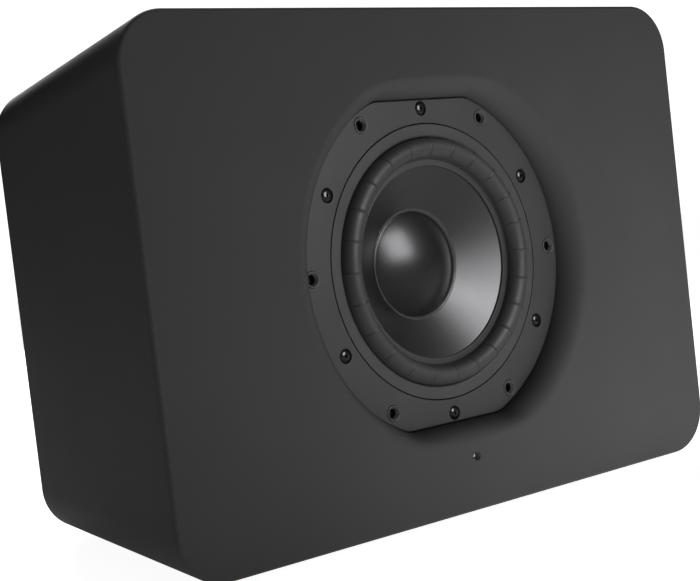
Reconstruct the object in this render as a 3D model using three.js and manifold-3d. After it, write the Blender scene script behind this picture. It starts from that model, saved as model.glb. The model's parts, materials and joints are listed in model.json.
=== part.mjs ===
// Powered subwoofer with a slim closed cabinet and one front-firing driver.
// Millimetres, +Z up. The front baffle faces -Y, +X is to the right of someone
// facing the front. Origin: centre of the footprint at floor level.
import * as THREE from 'three';
import { mergeVertices } from 'three/addons/utils/BufferGeometryUtils.js';
import Module from 'manifold-3d';

const wasm = await Module();
wasm.setup();

// ---------------------------------------------------------------- dimensions
const CAB_W = 485;            // cabinet width (X)
const CAB_D = 160;            // cabinet depth (Y)
const CAB_H = 335;            // cabinet height without the feet (Z)
const CAB_R = 34;             // corner radius of the front view
const FRONT_ROUND = 2.5;      // rounding of the front edge
const REAR_ROUND = 5;         // rounding of the rear edge
const FEET_H = 4;             // height of the rubber feet
const BAFFLE_T = 30;          // front baffle thickness
const WRAP_T = 15;            // side, top and bottom wall thickness
const REAR_T = 18;            // rear panel thickness

const DRIVER_Z = 172;         // height of the driver axis
const RECESS_DEPTH = 12;      // front face to flange front plane
const RECESS_ROUND = 13;      // radial width of the rounded recess wall
const FLANGE_R = 117.5;       // flange outer radius
const FLANGE_FLAT = 109.5;    // flange flats, above and below the axis
const FLANGE_T = 6;           // flange thickness
const FLANGE_GAP = 0.6;       // gap between flange and baffle rebate
const GASKET_T = 0.5;         // gasket under the flange
const CUTOUT_R = 97;          // driver cut-out in the baffle
const SCREW_CIRCLE_R = 103.5; // driver screw circle
const SOCKET_CIRCLE_R = 109.5; // grille socket circle
const DRIVER_HOLE_R = 2.4;    // driver screw hole, in flange and baffle

const LED_Z = 40.5;           // height of the status light
const AMP_W = 196;            // amplifier panel width
const AMP_H = 236;            // amplifier panel height
const AMP_T = 2.5;            // amplifier panel thickness
const AMP_SCREW_INSET = 7.5;  // panel screws from the panel edges
const AMP_HOLE_R = 1.8;       // panel screw hole
const BOARD_T = 1.6;          // circuit board thickness

const FRONT_SEGMENTS = 40;    // facets of the round parts seen from the front
const BOWL_SEGMENTS = 32;
const INNER_SEGMENTS = 24;    // facets of the internal round parts
const SMALL_SEGMENTS = 12;    // facets of small fittings
const HOLE_SEGMENTS = 8;      // facets of screw holes and standoffs

const FRONT_Y = -CAB_D / 2;
const REAR_Y = CAB_D / 2;
const BAFFLE_BACK_Y = FRONT_Y + BAFFLE_T;
const REAR_INNER_Y = REAR_Y - REAR_T;
const FLANGE_Y = FRONT_Y + RECESS_DEPTH; // flange front plane
const CAB_Z = FEET_H + CAB_H / 2;        // cabinet centre height
const AMP_Z = CAB_Z;                     // amplifier panel centre height
const AMP_IN_Y = REAR_INNER_Y + 5;       // inner face of the amplifier panel
const AMP_OUT_Y = AMP_IN_Y + AMP_T;      // outer face of the amplifier panel

// ------------------------------------------------------------------- helpers
const { degToRad } = THREE.MathUtils;
const range = (count) => Array.from({ length: count }, (_, i) => i);
const toVectors = (points) => points.map(([x, y]) => new THREE.Vector2(x, y));

function geometryFrom(positions, triangles) {
  const geometry = new THREE.BufferGeometry();
  geometry.setAttribute('position', new THREE.BufferAttribute(new Float32Array(positions), 3));
  geometry.setIndex(triangles);
  return geometry;
}

// Welds the vertices, drops collapsed triangles and turns the faces outward.
function tidy(geometry) {
  const bare = new THREE.BufferGeometry();
  bare.setAttribute('position', geometry.attributes.position);
  bare.setIndex(geometry.index);
  const welded = mergeVertices(bare, 1e-4);
  const { position } = welded.attributes;
  const index = welded.index.array;
  const kept = [];
  let volume = 0;
  for (let i = 0; i < index.length; i += 3) {
    const triangle = [index[i], index[i + 1], index[i + 2]];
    if (new Set(triangle).size < 3) continue;
    kept.push(...triangle);
    const [p, q, r] = triangle.map((id) => new THREE.Vector3().fromBufferAttribute(position, id));
    volume += p.dot(q.cross(r));
  }
  if (volume < 0) {
    for (let i = 0; i < kept.length; i += 3) {
      [kept[i + 1], kept[i + 2]] = [kept[i + 2], kept[i + 1]];
    }
  }
  return geometryFrom(position.array, kept);
}

function solid(geometry) {
  const clean = tidy(geometry);
  return new wasm.Manifold(new wasm.Mesh({
    numProp: 3,
    vertProperties: clean.attributes.position.array,
    triVerts: new Uint32Array(clean.index.array),
  }));
}

// Joins the first list and cuts the second list out of it.
function csg(added, cuts = []) {
  let result = solid(added[0]);
  for (const part of added.slice(1)) result = result.add(solid(part));
  for (const part of cuts) result = result.subtract(solid(part));
  const mesh = result.getMesh();
  return geometryFrom(mesh.vertProperties, Array.from(mesh.triVerts));
}

// A solid turned about an axis parallel to Y through (x, z). The profile lists
// [radius, distance behind y]; it closes on itself, or both ends lie on the axis.
function turned(profile, segments, { x = 0, y = 0, z = 0 } = {}) {
  const points = toVectors(profile.map(([radius, depth]) => [radius, y + depth]));
  const onAxis = points[0].x < 1e-9 && points.at(-1).x < 1e-9;
  if (!onAxis) points.push(points[0].clone());
  const geometry = new THREE.LatheGeometry(points, segments);
  geometry.translate(x, 0, z);
  return tidy(geometry);
}

// A cylinder along Y through (x, z).
function rod(radius, y0, y1, segments, x = 0, z = 0) {
  return turned([[0, y0], [radius, y0], [radius, y1], [0, y1]], segments, { x, z });
}

// A box from y0 to y1, centred on (x, z).
function box(width, height, y0, y1, x = 0, z = 0) {
  const geometry = new THREE.BoxGeometry(width, y1 - y0, height);
  geometry.translate(x, (y0 + y1) / 2, z);
  return geometry;
}

// The point [x, z] at an angle in radians on a circle about (x, z).
function polar(radius, angle, x = 0, z = 0) {
  return [x + radius * Math.cos(angle), z + radius * Math.sin(angle)];
}

const aboutDriver = (radius, degrees) => polar(radius, degToRad(degrees), 0, DRIVER_Z);

// Outline points [x, z], anticlockwise, of a rounded rectangle.
function roundedRect(width, height, radius, steps, z) {
  return [[1, 1], [-1, 1], [-1, -1], [1, -1]].flatMap(([sx, sz], corner) => {
    const centre = [sx * (width / 2 - radius), z + sz * (height / 2 - radius)];
    return range(steps + 1).map((i) => (
      polar(radius, degToRad(90 * corner + (90 * i) / steps), ...centre)));
  });
}

// A closed solid through a row of equal-count outlines [[x, z], ...] at y values.
function loft(sections) {
  const count = sections[0].outline.length;
  const last = sections.length - 1;
  const positions = sections.flatMap(({ outline, y }) => outline.flatMap(([x, z]) => [x, y, z]));
  const triangles = [];
  for (let k = 0; k < last; k++) {
    for (let i = 0; i < count; i++) {
      const here = k * count + i;
      const next = k * count + ((i + 1) % count);
      triangles.push(here, next, next + count, here, next + count, here + count);
    }
  }
  const cap = ({ outline }) => THREE.ShapeUtils.triangulateShape(toVectors(outline), []);
  const offset = last * count;
  for (const [i, j, k] of cap(sections[0])) triangles.push(i, k, j);
  for (const [i, j, k] of cap(sections[last])) triangles.push(offset + i, offset + j, offset + k);
  return tidy(geometryFrom(positions, triangles));
}

// One outline carried straight from y0 to y1.
const slab = (outline, y0, y1) => loft([{ outline, y: y0 }, { outline, y: y1 }]);

// Loft sections of a quarter-round edge; depth is signed, from faceY into the part.
function quarterRound(outlineAt, width, depth, faceY, degrees) {
  return degrees.map((degree) => {
    const angle = degToRad(degree);
    return {
      outline: outlineAt(width * (1 - Math.sin(angle))),
      y: faceY + depth * (1 - Math.cos(angle)),
    };
  });
}

function extruded(outline, options, holes = []) {
  const shape = new THREE.Shape(toVectors(outline));
  shape.holes = holes.map((hole) => new THREE.Path(toVectors(hole)));
  return new THREE.ExtrudeGeometry(shape, { bevelEnabled: false, ...options });
}

const group = new THREE.Group();
function addPiece(name, geometry, finish) {
  const mesh = new THREE.Mesh(geometry, new THREE.MeshStandardMaterial(finish));
  mesh.name = name;
  group.add(mesh);
}

// ----------------------------------------------------------- shared outlines
const cabOutline = (inset) => (
  roundedRect(CAB_W - 2 * inset, CAB_H - 2 * inset, CAB_R - inset, 6, CAB_Z));

// Even 10-degree steps, plus a pair of angles that softens each flange corner.
const FLANGE_ANGLES = (() => {
  const cornerOffset = Math.PI / 2 - Math.asin(FLANGE_FLAT / FLANGE_R);
  const angles = range(36).map((i) => (i * Math.PI) / 18);
  for (const middle of [Math.PI / 2, 1.5 * Math.PI]) {
    for (const side of [-1, 1]) {
      for (const shift of [-0.03, 0.01]) angles.push(middle + side * (cornerOffset + shift));
    }
  }
  return angles.map((angle) => (angle + 2 * Math.PI) % (2 * Math.PI)).sort((a, b) => a - b);
})();

// The flange outline: a circle cut by flats above and below.
function flangeOutline(grow) {
  return FLANGE_ANGLES.map((angle) => {
    const toFlat = (FLANGE_FLAT + grow) / Math.max(1e-6, Math.abs(Math.sin(angle)));
    return polar(Math.min(FLANGE_R + grow, toFlat), angle, 0, DRIVER_Z);
  });
}

const DRIVER_SCREWS = range(6).map((i) => aboutDriver(SCREW_CIRCLE_R, 30 + 60 * i));
const GRILLE_SOCKETS = range(6).map((i) => aboutDriver(SOCKET_CIRCLE_R, 60 * i));
const AMP_SCREWS = [-1, 1].flatMap((sz) => [-1, 1].map((sx) => [
  sx * (AMP_W / 2 - AMP_SCREW_INSET), AMP_Z + sz * (AMP_H / 2 - AMP_SCREW_INSET),
]));

// ------------------------------------------------------------------- cabinet
// Rounded front edge, rounded driver recess, rebate, cut-out and light bore.
function frontBaffle() {
  const board = loft([
    ...quarterRound(cabOutline, FRONT_ROUND, FRONT_ROUND, FRONT_Y, [0, 30, 60, 90]),
    { outline: cabOutline(0), y: BAFFLE_BACK_Y },
  ]);
  const recessOutline = (grow) => flangeOutline(FLANGE_GAP + grow);
  const recess = loft([
    { outline: recessOutline(RECESS_ROUND), y: FRONT_Y - 1 },
    ...quarterRound(recessOutline, RECESS_ROUND, RECESS_DEPTH, FRONT_Y, [0, 22.5, 45, 67.5, 90]),
    { outline: recessOutline(0), y: FLANGE_Y + FLANGE_T + GASKET_T },
  ]);
  const hole = (radius, segments, x, z) => (
    rod(radius, FLANGE_Y, BAFFLE_BACK_Y + 1, segments, x, z));
  const lightBore = turned([
    [0, -1], [4.3, -1], [3.5, 0], [2.4, 1.2], [1.75, 2.6], [1.75, BAFFLE_T + 1], [0, BAFFLE_T + 1],
  ], 16, { y: FRONT_Y, z: LED_Z });
  return csg([board], [
    recess,
    hole(CUTOUT_R, FRONT_SEGMENTS, 0, DRIVER_Z),
    ...DRIVER_SCREWS.map(([x, z]) => hole(DRIVER_HOLE_R, HOLE_SEGMENTS, x, z)),
    lightBore,
  ]);
}
addPiece('front_baffle', frontBaffle(), { color: 0x2b2b2c, roughness: 0.55 });

// The side, top and bottom walls as one ring.
function cabinetWrap() {
  const depth = REAR_INNER_Y - BAFFLE_BACK_Y;
  const ring = extruded(cabOutline(0), { depth }, [cabOutline(WRAP_T)]);
  ring.rotateX(Math.PI / 2);
  ring.translate(0, REAR_INNER_Y, 0);
  return tidy(ring);
}
addPiece('cabinet_wrap', cabinetWrap(), { color: 0x2a2a2b, roughness: 0.55 });

// Rounded rear edge and a rebated opening for the amplifier.
function rearPanel() {
  const board = loft([
    { outline: cabOutline(0), y: REAR_INNER_Y },
    ...quarterRound(cabOutline, REAR_ROUND, -REAR_ROUND, REAR_Y, [90, 60, 30, 0]),
  ]);
  const opening = (grow, radius) => roundedRect(AMP_W + grow, AMP_H + grow, radius, 3, AMP_Z);
  const rebate = loft([
    { outline: opening(1, 8.5), y: AMP_IN_Y },
    { outline: opening(1, 8.5), y: REAR_Y - 2 },
    { outline: opening(5, 10.5), y: REAR_Y },
    { outline: opening(7, 11.5), y: REAR_Y + 1 },
  ]);
  return csg([board], [
    rebate,
    slab(opening(-26, 6), REAR_INNER_Y - 1, AMP_IN_Y + 1),
    ...AMP_SCREWS.map(([x, z]) => (
      rod(AMP_HOLE_R, REAR_INNER_Y - 1, AMP_IN_Y + 1, HOLE_SEGMENTS, x, z))),
  ]);
}
addPiece('rear_panel', rearPanel(), { color: 0x29292a, roughness: 0.6 });

// A plate with two windows that ties the top to the bottom beside the driver.
function brace(x) {
  const thickness = 12;
  const height = CAB_H - 2 * WRAP_T;
  const endBar = 30;
  const halfMiddleBar = 12;
  const windowHeight = height / 2 - endBar - halfMiddleBar;
  const windowOffset = halfMiddleBar + windowHeight / 2;
  return csg(
    [box(thickness, height, BAFFLE_BACK_Y, REAR_INNER_Y, x, CAB_Z)],
    [-1, 1].map((side) => (
      box(thickness + 2, windowHeight, -30, 42, x, CAB_Z + side * windowOffset))),
  );
}
const BRACE_X = 136;
const SIDES = [['left', -1], ['right', 1]];
for (const [side, sign] of SIDES) {
  addPiece(`brace_${side}`, brace(sign * BRACE_X), { color: 0x9a7b52, roughness: 0.8 });
}

const DAMPING_T = 18;
const DAMPING_H = 223;
for (const [side, sign] of SIDES) {
  const x = sign * (CAB_W / 2 - WRAP_T - DAMPING_T / 2);
  const pad = box(DAMPING_T, DAMPING_H, -42, 54, x, CAB_Z);
  addPiece(`damping_${side}`, pad, { color: 0x8d8f8c, roughness: 0.95 });
}

const FOOT_R = 15;
const FOOT_X = 185;
const FOOT_Y = 44;
function foot(x, y) {
  const geometry = turned([
    [0, 0], [FOOT_R - 1.5, 0], [FOOT_R, 1.2], [FOOT_R, FEET_H], [0, FEET_H],
  ], 16);
  geometry.rotateX(Math.PI / 2);
  geometry.translate(x, y, 0);
  return geometry;
}
for (const [end, signY] of [['front', -1], ['rear', 1]]) {
  for (const [side, signX] of SIDES) {
    const geometry = foot(signX * FOOT_X, signY * FOOT_Y);
    addPiece(`foot_${end}_${side}`, geometry, { color: 0x161616, roughness: 0.85 });
  }
}

// -------------------------------------------------------------------- driver
// Driver profiles list [radius, depth behind the flange front plane].
const driverTurned = (profile, segments = FRONT_SEGMENTS) => (
  turned(profile, segments, { y: FLANGE_Y, z: DRIVER_Z }));

const FLANGE_HOLE_R = 93.6;
const BOWL_WALL = [[91, 12], [70, 40]]; // ends of the sloping outer wall
const FORMER_R = 26;                    // voice coil former outer radius
const TRIM_R = 93.2;                    // trim ring and surround outer radius
const TRIM_DEPTH = 5;                   // back of the trim ring
const CONE_R = 69.4;
const CONE_FLAT_R = 65.2;               // inner edge of the flat cone rim
const CONE_RIM = 3;                     // depth of the cone rim
const CONE_SLOPE = 0.49;
const coneDepth = (radius) => CONE_RIM + (CONE_FLAT_R - radius) * CONE_SLOPE;

// A ring sector about the driver axis, from depth d0 to d1.
function ringSector(outerR, innerR, degrees, halfAngle, steps, d0, d1) {
  const arc = (radius) => range(steps + 1).map((k) => (
    aboutDriver(radius, degrees - halfAngle + (2 * halfAngle * k) / steps)));
  return slab([...arc(outerR), ...arc(innerR).reverse()], FLANGE_Y + d0, FLANGE_Y + d1);
}

// Flange, seat ring, six spokes, spider ledge and motor seat.
function basket() {
  const flange = loft([
    { outline: flangeOutline(-0.6), y: FLANGE_Y },
    { outline: flangeOutline(0), y: FLANGE_Y + 0.6 },
    { outline: flangeOutline(0), y: FLANGE_Y + FLANGE_T },
  ]);
  const bowl = driverTurned([
    [83, 6], [96.4, 6], [96.4, 9], ...BOWL_WALL, [62, 50], [54, 55], [30, 55],
    [30, 52], [50, 52], [57, 46], [57, 41], [64, 41], [83, 13],
  ], BOWL_SEGMENTS);
  const hole = (radius, depth, segments, x, z) => (
    rod(radius, FLANGE_Y - 1, FLANGE_Y + depth, segments, x, z));
  const cuts = [];
  for (let i = 0; i < 6; i++) {
    cuts.push(
      hole(DRIVER_HOLE_R, FLANGE_T + 1, HOLE_SEGMENTS, ...DRIVER_SCREWS[i]),
      hole(4.9, 2.6, SMALL_SEGMENTS, ...DRIVER_SCREWS[i]),
      hole(5.6, FLANGE_T + 1, SMALL_SEGMENTS, ...GRILLE_SOCKETS[i]),
      // the window between two spokes, then the slot behind it
      ringSector(110, 58, 60 * i, 21, 4, 15, 38),
      ringSector(75, 52.5, 60 * i, 12, 2, 43.5, 50.5),
    );
  }
  // The flange hole is cut before the seat ring is joined, so the ring stays whole.
  const plate = csg([flange], [hole(FLANGE_HOLE_R, FLANGE_T, FRONT_SEGMENTS, 0, DRIVER_Z)]);
  return csg([plate, bowl], cuts);
}
addPiece('basket', basket(), { color: 0x303031, roughness: 0.5, metalness: 0.3 });

addPiece('flange_gasket', driverTurned([
  [97.6, FLANGE_T], [100.6, FLANGE_T],
  [100.6, FLANGE_T + GASKET_T], [97.6, FLANGE_T + GASKET_T],
]), { color: 0x1a1a1a, roughness: 0.9 });

addPiece('trim_ring', driverTurned([
  [84, 1.7], [84.6, 0.6], [85.8, 0], [92.9, 0],
  [TRIM_R, 0.3], [TRIM_R, TRIM_DEPTH], [84, TRIM_DEPTH],
]), { color: 0x3a3a3b, roughness: 0.6 });

// Outer flat under the trim ring, half roll, inner lip on the cone.
function surround() {
  const rollR = 76.7;
  const rollDepth = 2;
  const outerHalfWidth = 7.1;
  const innerHalfWidth = 6;
  const rollArc = (halfWidth, height, steps) => range(steps + 1).map((i) => {
    const angle = (Math.PI * i) / steps;
    return [rollR + halfWidth * Math.cos(angle), rollDepth - height * Math.sin(angle)];
  });
  return driverTurned([
    [TRIM_R, TRIM_DEPTH], [rollR + outerHalfWidth, TRIM_DEPTH],
    ...rollArc(outerHalfWidth, 7.2, 6).slice(0, -1),
    [CONE_R, rollDepth], [CONE_FLAT_R, rollDepth], [CONE_FLAT_R, CONE_RIM], [70.5, CONE_RIM],
    ...rollArc(innerHalfWidth, 6.1, 4).reverse(),
    [rollR + innerHalfWidth, TRIM_DEPTH + 1], [TRIM_R, TRIM_DEPTH + 1],
  ]);
}
addPiece('surround', surround(), { color: 0x1d1d1e, roughness: 0.5 });

addPiece('cone', driverTurned([
  [CONE_R, CONE_RIM], [CONE_FLAT_R, CONE_RIM], [26.2, coneDepth(26.2)],
  [26.2, 23.9], [64.6, 4.9], [CONE_R, 4.2],
]), { color: 0x454547, roughness: 0.3, metalness: 0.5 });

// A shallow dome that stands on the cone.
function dustCap() {
  const capR = 36.5;
  const rise = 10.6;
  const wall = 1.1;
  const footR = 35;
  const innerR = 34;
  const apex = coneDepth(capR) - rise;
  const sphereR = (capR ** 2 + rise ** 2) / (2 * rise);
  const dome = (radius, steps, depth) => range(steps + 1).map((i) => {
    const r = (radius * i) / steps;
    return [r, depth + sphereR - Math.sqrt(sphereR ** 2 - r ** 2)];
  });
  return driverTurned([
    ...dome(capR, 5, apex),
    [footR, coneDepth(footR)],
    ...dome(innerR, 4, apex + wall).reverse(),
  ]);
}
addPiece('dust_cap', dustCap(), { color: 0x3c3c3e, roughness: 0.28, metalness: 0.3 });

addPiece('voice_coil_former', driverTurned([
  [25.4, 18], [FORMER_R, 18], [FORMER_R, 66.5], [25.4, 66.5],
], INNER_SEGMENTS), { color: 0xb98d4a, roughness: 0.5, metalness: 0.2 });

addPiece('voice_coil_winding', driverTurned([
  [FORMER_R, 50.5], [27.3, 50.5], [27.3, 66.5], [FORMER_R, 66.5],
], INNER_SEGMENTS), { color: 0xb06a35, roughness: 0.35, metalness: 0.9 });

addPiece('spider', driverTurned([
  [FORMER_R, 37], [27, 37], [27, 39.4], [32, 38.4], [38, 41.2], [44, 38.4], [50, 41.2],
  [57, 40], [62, 40], [62, 41], [56.6, 41],
  [50, 42.2], [44, 39.4], [38, 42.2], [32, 39.4], [27, 40.4], [FORMER_R, 40.4],
], INNER_SEGMENTS), { color: 0xc9a05c, roughness: 0.9 });

const STEEL = { color: 0x8c8e90, roughness: 0.4, metalness: 0.9 };
addPiece('top_plate', driverTurned([
  [28.5, 55], [51, 55], [52, 56], [52, 62], [28.5, 62],
], INNER_SEGMENTS), STEEL);

addPiece('magnet', driverTurned([
  [32, 62], [56, 62], [57, 63], [57, 79], [56, 80], [32, 80],
], INNER_SEGMENTS), { color: 0x2a2a2c, roughness: 0.7, metalness: 0.1 });

addPiece('yoke', driverTurned([
  [6, 54], [23.6, 54], [24.4, 55], [24.4, 80], [53, 80],
  [54, 81], [54, 86], [53, 87], [8, 87], [6, 85],
], INNER_SEGMENTS), STEEL);

// A block under the lower spoke; its top follows the sloping bowl wall.
function terminalBlock() {
  const halfWidth = 11;
  const frontDepth = 20;
  const backDepth = 30;
  const clearance = 0.02;
  const [[r0, d0], [r1, d1]] = BOWL_WALL;
  const wallZ = (depth) => DRIVER_Z - (r0 - ((depth - d0) * (r0 - r1)) / (d1 - d0));
  const bottom = wallZ(frontDepth) - 7;
  return loft([frontDepth, backDepth].map((depth) => {
    const top = wallZ(depth) - clearance;
    return {
      outline: [[-halfWidth, bottom], [halfWidth, bottom], [halfWidth, top], [-halfWidth, top]],
      y: FLANGE_Y + depth,
    };
  }));
}
addPiece('terminal_block', terminalBlock(), { color: 0x111111, roughness: 0.6 });

function driverScrew([x, z]) {
  const screw = turned([
    [0, -0.4], [2.2, -0.1], [3.6, 0.8], [4.2, 2], [4.2, 2.6], [2, 2.6], [2, 15], [0, 16.5],
  ], SMALL_SEGMENTS, { x, y: FLANGE_Y, z });
  const hexSocket = rod(1.7, FLANGE_Y - 1, FLANGE_Y + 1.4, 6, x, z);
  return csg([screw], [hexSocket]);
}
DRIVER_SCREWS.forEach((place, i) => {
  const finish = { color: 0x1a1a1b, roughness: 0.25, metalness: 0.8 };
  addPiece(`driver_screw_${i + 1}`, driverScrew(place), finish);
});

GRILLE_SOCKETS.forEach(([x, z], i) => {
  addPiece(`grille_socket_${i + 1}`, turned([
    [0, 5.8], [5.3, 5.8], [5.3, -0.1], [4.9, -0.4], [4.3, -0.3], [3.9, 0.4], [3.6, 4.4], [0, 4.8],
  ], SMALL_SEGMENTS, { x, y: FLANGE_Y, z }), { color: 0x242425, roughness: 0.45 });
});

// --------------------------------------------------------------- electronics
const CONTROL_Z = AMP_Z + 72;   // knobs and phase switch
const BUTTON_Z = AMP_Z + 46;
const CONNECTOR_Z = AMP_Z - 78; // mains inlet, power switch and RCA sockets
const KNOBS = [['level_knob', 48], ['crossover_knob', -48]];
const RCA_SOCKETS = [['rca_left', 38], ['rca_right', 62]];
const ROCKER_X = -18;
const ROCKER_Y = AMP_OUT_Y - 1; // pivot of the rocker
const INLET_X = -57;

function ampPanel() {
  const y0 = AMP_IN_Y - 1;
  const y1 = AMP_OUT_Y + 1;
  return csg([slab(roundedRect(AMP_W, AMP_H, 8, 3, AMP_Z), AMP_IN_Y, AMP_OUT_Y)], [
    ...AMP_SCREWS.map(([x, z]) => rod(AMP_HOLE_R, y0, y1, HOLE_SEGMENTS, x, z)),
    ...KNOBS.map(([, x]) => rod(3.5, y0, y1, SMALL_SEGMENTS, x, CONTROL_Z)),
    ...RCA_SOCKETS.map(([, x]) => rod(4.3, y0, y1, SMALL_SEGMENTS, x, CONNECTOR_Z)),
    rod(3.7, y0, y1, SMALL_SEGMENTS, 0, BUTTON_Z),
    box(10.8, 4.6, y0, y1, 0, CONTROL_Z),
    box(13.6, 20.4, y0, y1, ROCKER_X, CONNECTOR_Z),
    box(30, 23.4, y0, y1, INLET_X, CONNECTOR_Z),
  ]);
}
addPiece('amp_panel', ampPanel(), { color: 0x1f1f20, roughness: 0.5, metalness: 0.4 });

AMP_SCREWS.forEach(([x, z], i) => {
  addPiece(`panel_screw_${i + 1}`, turned([
    [0, 1.8], [2.4, 1.5], [3.3, 0], [1.5, 0], [1.5, -AMP_T - 3], [0, -AMP_T - 4.5],
  ], 10, { x, y: AMP_OUT_Y, z }), { color: 0x1b1b1c, roughness: 0.3, metalness: 0.8 });
});

// Upright fins on a thin base against the amplifier panel.
function heatSink() {
  const width = 120;
  const height = 62;
  const fins = 15;
  const finT = 2.2;
  const baseY = AMP_OUT_Y + 1.6;
  const tipY = AMP_OUT_Y + 9;
  const pitch = (width - finT) / (fins - 1);
  const outline = [[-width / 2, AMP_OUT_Y], [width / 2, AMP_OUT_Y]]; // [x, y]
  for (let i = fins - 1; i >= 0; i--) {
    const x = -width / 2 + i * pitch;
    if (i < fins - 1) outline.push([x + finT, baseY]);
    outline.push([x + finT, tipY], [x, tipY]);
    if (i > 0) outline.push([x, baseY]);
  }
  const geometry = extruded(outline, { depth: height });
  geometry.translate(0, 0, AMP_Z - 36);
  return tidy(geometry);
}
addPiece('heat_sink', heatSink(), { color: 0x1c1c1d, roughness: 0.45, metalness: 0.6 });

// A rim and body with three pins in a recess.
function mainsInlet() {
  const at = ([x, z]) => [INLET_X + x, CONNECTOR_Z + z];
  const rim = box(36, 28, AMP_OUT_Y, AMP_OUT_Y + 3, ...at([0, 0]));
  const body = box(29.4, 22.8, AMP_OUT_Y - 24, AMP_OUT_Y + 1, ...at([0, 0]));
  const recess = [
    [-12.2, 8.2], [-12.2, -3.2], [-7.4, -8.2], [7.4, -8.2], [12.2, -3.2], [12.2, 8.2],
  ].map(at);
  const shell = csg([rim, body], [slab(recess, AMP_OUT_Y - 16, AMP_OUT_Y + 4)]);
  const pins = [[-7, 2.5], [7, 2.5], [0, -2.5]].map((place) => (
    box(2, 4, AMP_OUT_Y - 18, AMP_OUT_Y - 1, ...at(place))));
  return csg([shell, ...pins]);
}
addPiece('mains_inlet', mainsInlet(), { color: 0x141415, roughness: 0.5 });

// An open tub with a rim around the power rocker.
function rockerBezel() {
  const tub = box(13.2, 20, ROCKER_Y - 9, AMP_OUT_Y, ROCKER_X, CONNECTOR_Z);
  const rim = box(16.4, 23.6, AMP_OUT_Y, AMP_OUT_Y + 1.6, ROCKER_X, CONNECTOR_Z);
  const cavity = box(11.6, 18.6, ROCKER_Y - 7.6, AMP_OUT_Y + 3, ROCKER_X, CONNECTOR_Z);
  return csg([tub, rim], [cavity]);
}
addPiece('rocker_bezel', rockerBezel(), { color: 0x121212, roughness: 0.45 });

// The rocker, tilted about X.
function powerRocker() {
  const width = 11;
  const tilt = -9; // degrees
  const profile = [ // [z, y] from the pivot
    [-8, -0.4], [0, -3.2], [8, -0.4], [8, 4.4], [4, 3.2], [0, 2.8], [-4, 3.2], [-8, 4.4],
  ];
  const geometry = extruded(profile, { depth: width });
  geometry.translate(0, 0, -width / 2);
  geometry.rotateY(-Math.PI / 2);
  geometry.rotateX(degToRad(tilt));
  geometry.translate(ROCKER_X, ROCKER_Y, CONNECTOR_Z);
  return tidy(geometry);
}
addPiece('power_rocker', powerRocker(), { color: 0x0e0e0f, roughness: 0.3 });

// A fluted knob with its own shaft; a notch marks the pointer.
function knob(x) {
  const points = 36; // every third one is the bottom of a flute
  const outline = (scale) => range(points).map((i) => {
    const radius = i % 3 === 0 ? 10.2 : 11;
    return polar(radius * scale, (2 * Math.PI * i) / points, x, CONTROL_Z);
  });
  const body = loft([
    { outline: outline(1), y: AMP_OUT_Y + 0.5 },
    { outline: outline(0.96), y: AMP_OUT_Y + 7.6 },
    { outline: outline(0.88), y: AMP_OUT_Y + 8.6 },
  ]);
  const shaft = rod(3.2, AMP_OUT_Y - 12, AMP_OUT_Y + 1, SMALL_SEGMENTS, x, CONTROL_Z);
  const notch = box(1.4, 9.5, AMP_OUT_Y + 7.9, AMP_OUT_Y + 9, x, CONTROL_Z + 7.25);
  return csg([body, shaft], [notch]);
}
for (const [name, x] of KNOBS) addPiece(name, knob(x), { color: 0x161617, roughness: 0.5 });

// Board with potentiometer, switch and button housings and three standoffs.
function controlBoard() {
  const y = AMP_IN_Y - 14;
  const boardZ = AMP_Z + 60;
  const standoffs = [[-56, AMP_Z + 40], [56, AMP_Z + 40], [0, boardZ]];
  return csg([
    box(124, 52, y, y + BOARD_T, 0, boardZ),
    ...KNOBS.map(([, x]) => box(16, 16, y + 1, AMP_IN_Y - 2, x, CONTROL_Z)),
    box(14, 8, y + 1, AMP_IN_Y - 3, 0, CONTROL_Z),
    box(10, 10, y + 1, AMP_IN_Y - 7, 0, BUTTON_Z),
    ...standoffs.map(([x, z]) => rod(2.5, y + 1, AMP_IN_Y, HOLE_SEGMENTS, x, z)),
  ], KNOBS.map(([, x]) => rod(3.6, y + 3, AMP_IN_Y, SMALL_SEGMENTS, x, CONTROL_Z)));
}
const GREEN_BOARD = { color: 0x1f5a34, roughness: 0.6 };
addPiece('control_board', controlBoard(), GREEN_BOARD);

// The slider sits off centre in its slot, towards -X.
const phaseSlider = box(4.4, 3.8, AMP_IN_Y - 2.4, AMP_OUT_Y + 3.4, -2, CONTROL_Z);
addPiece('phase_switch', phaseSlider, { color: 0x0f0f10, roughness: 0.4 });

addPiece('pair_button', turned([
  [0, -AMP_T - 5], [3.4, -AMP_T - 5], [3.4, 2.6], [2.9, 3.2], [0, 3.2],
], SMALL_SEGMENTS, { y: AMP_OUT_Y, z: BUTTON_Z }), { color: 0x2b2b2c, roughness: 0.4 });

for (const [name, x] of RCA_SOCKETS) {
  const socket = turned([
    [0, -AMP_T - 8], [4, -AMP_T - 8], [4, 0], [6.2, 0], [6.2, 1.6], [4.15, 1.6],
    [4.15, 9], [3.2, 9], [3.2, 1], [1.6, 1], [1.6, -6], [0, -6],
  ], SMALL_SEGMENTS, { x, y: AMP_OUT_Y, z: CONNECTOR_Z });
  addPiece(name, socket, { color: 0xb08a3c, roughness: 0.3, metalness: 0.9 });
}

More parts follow.
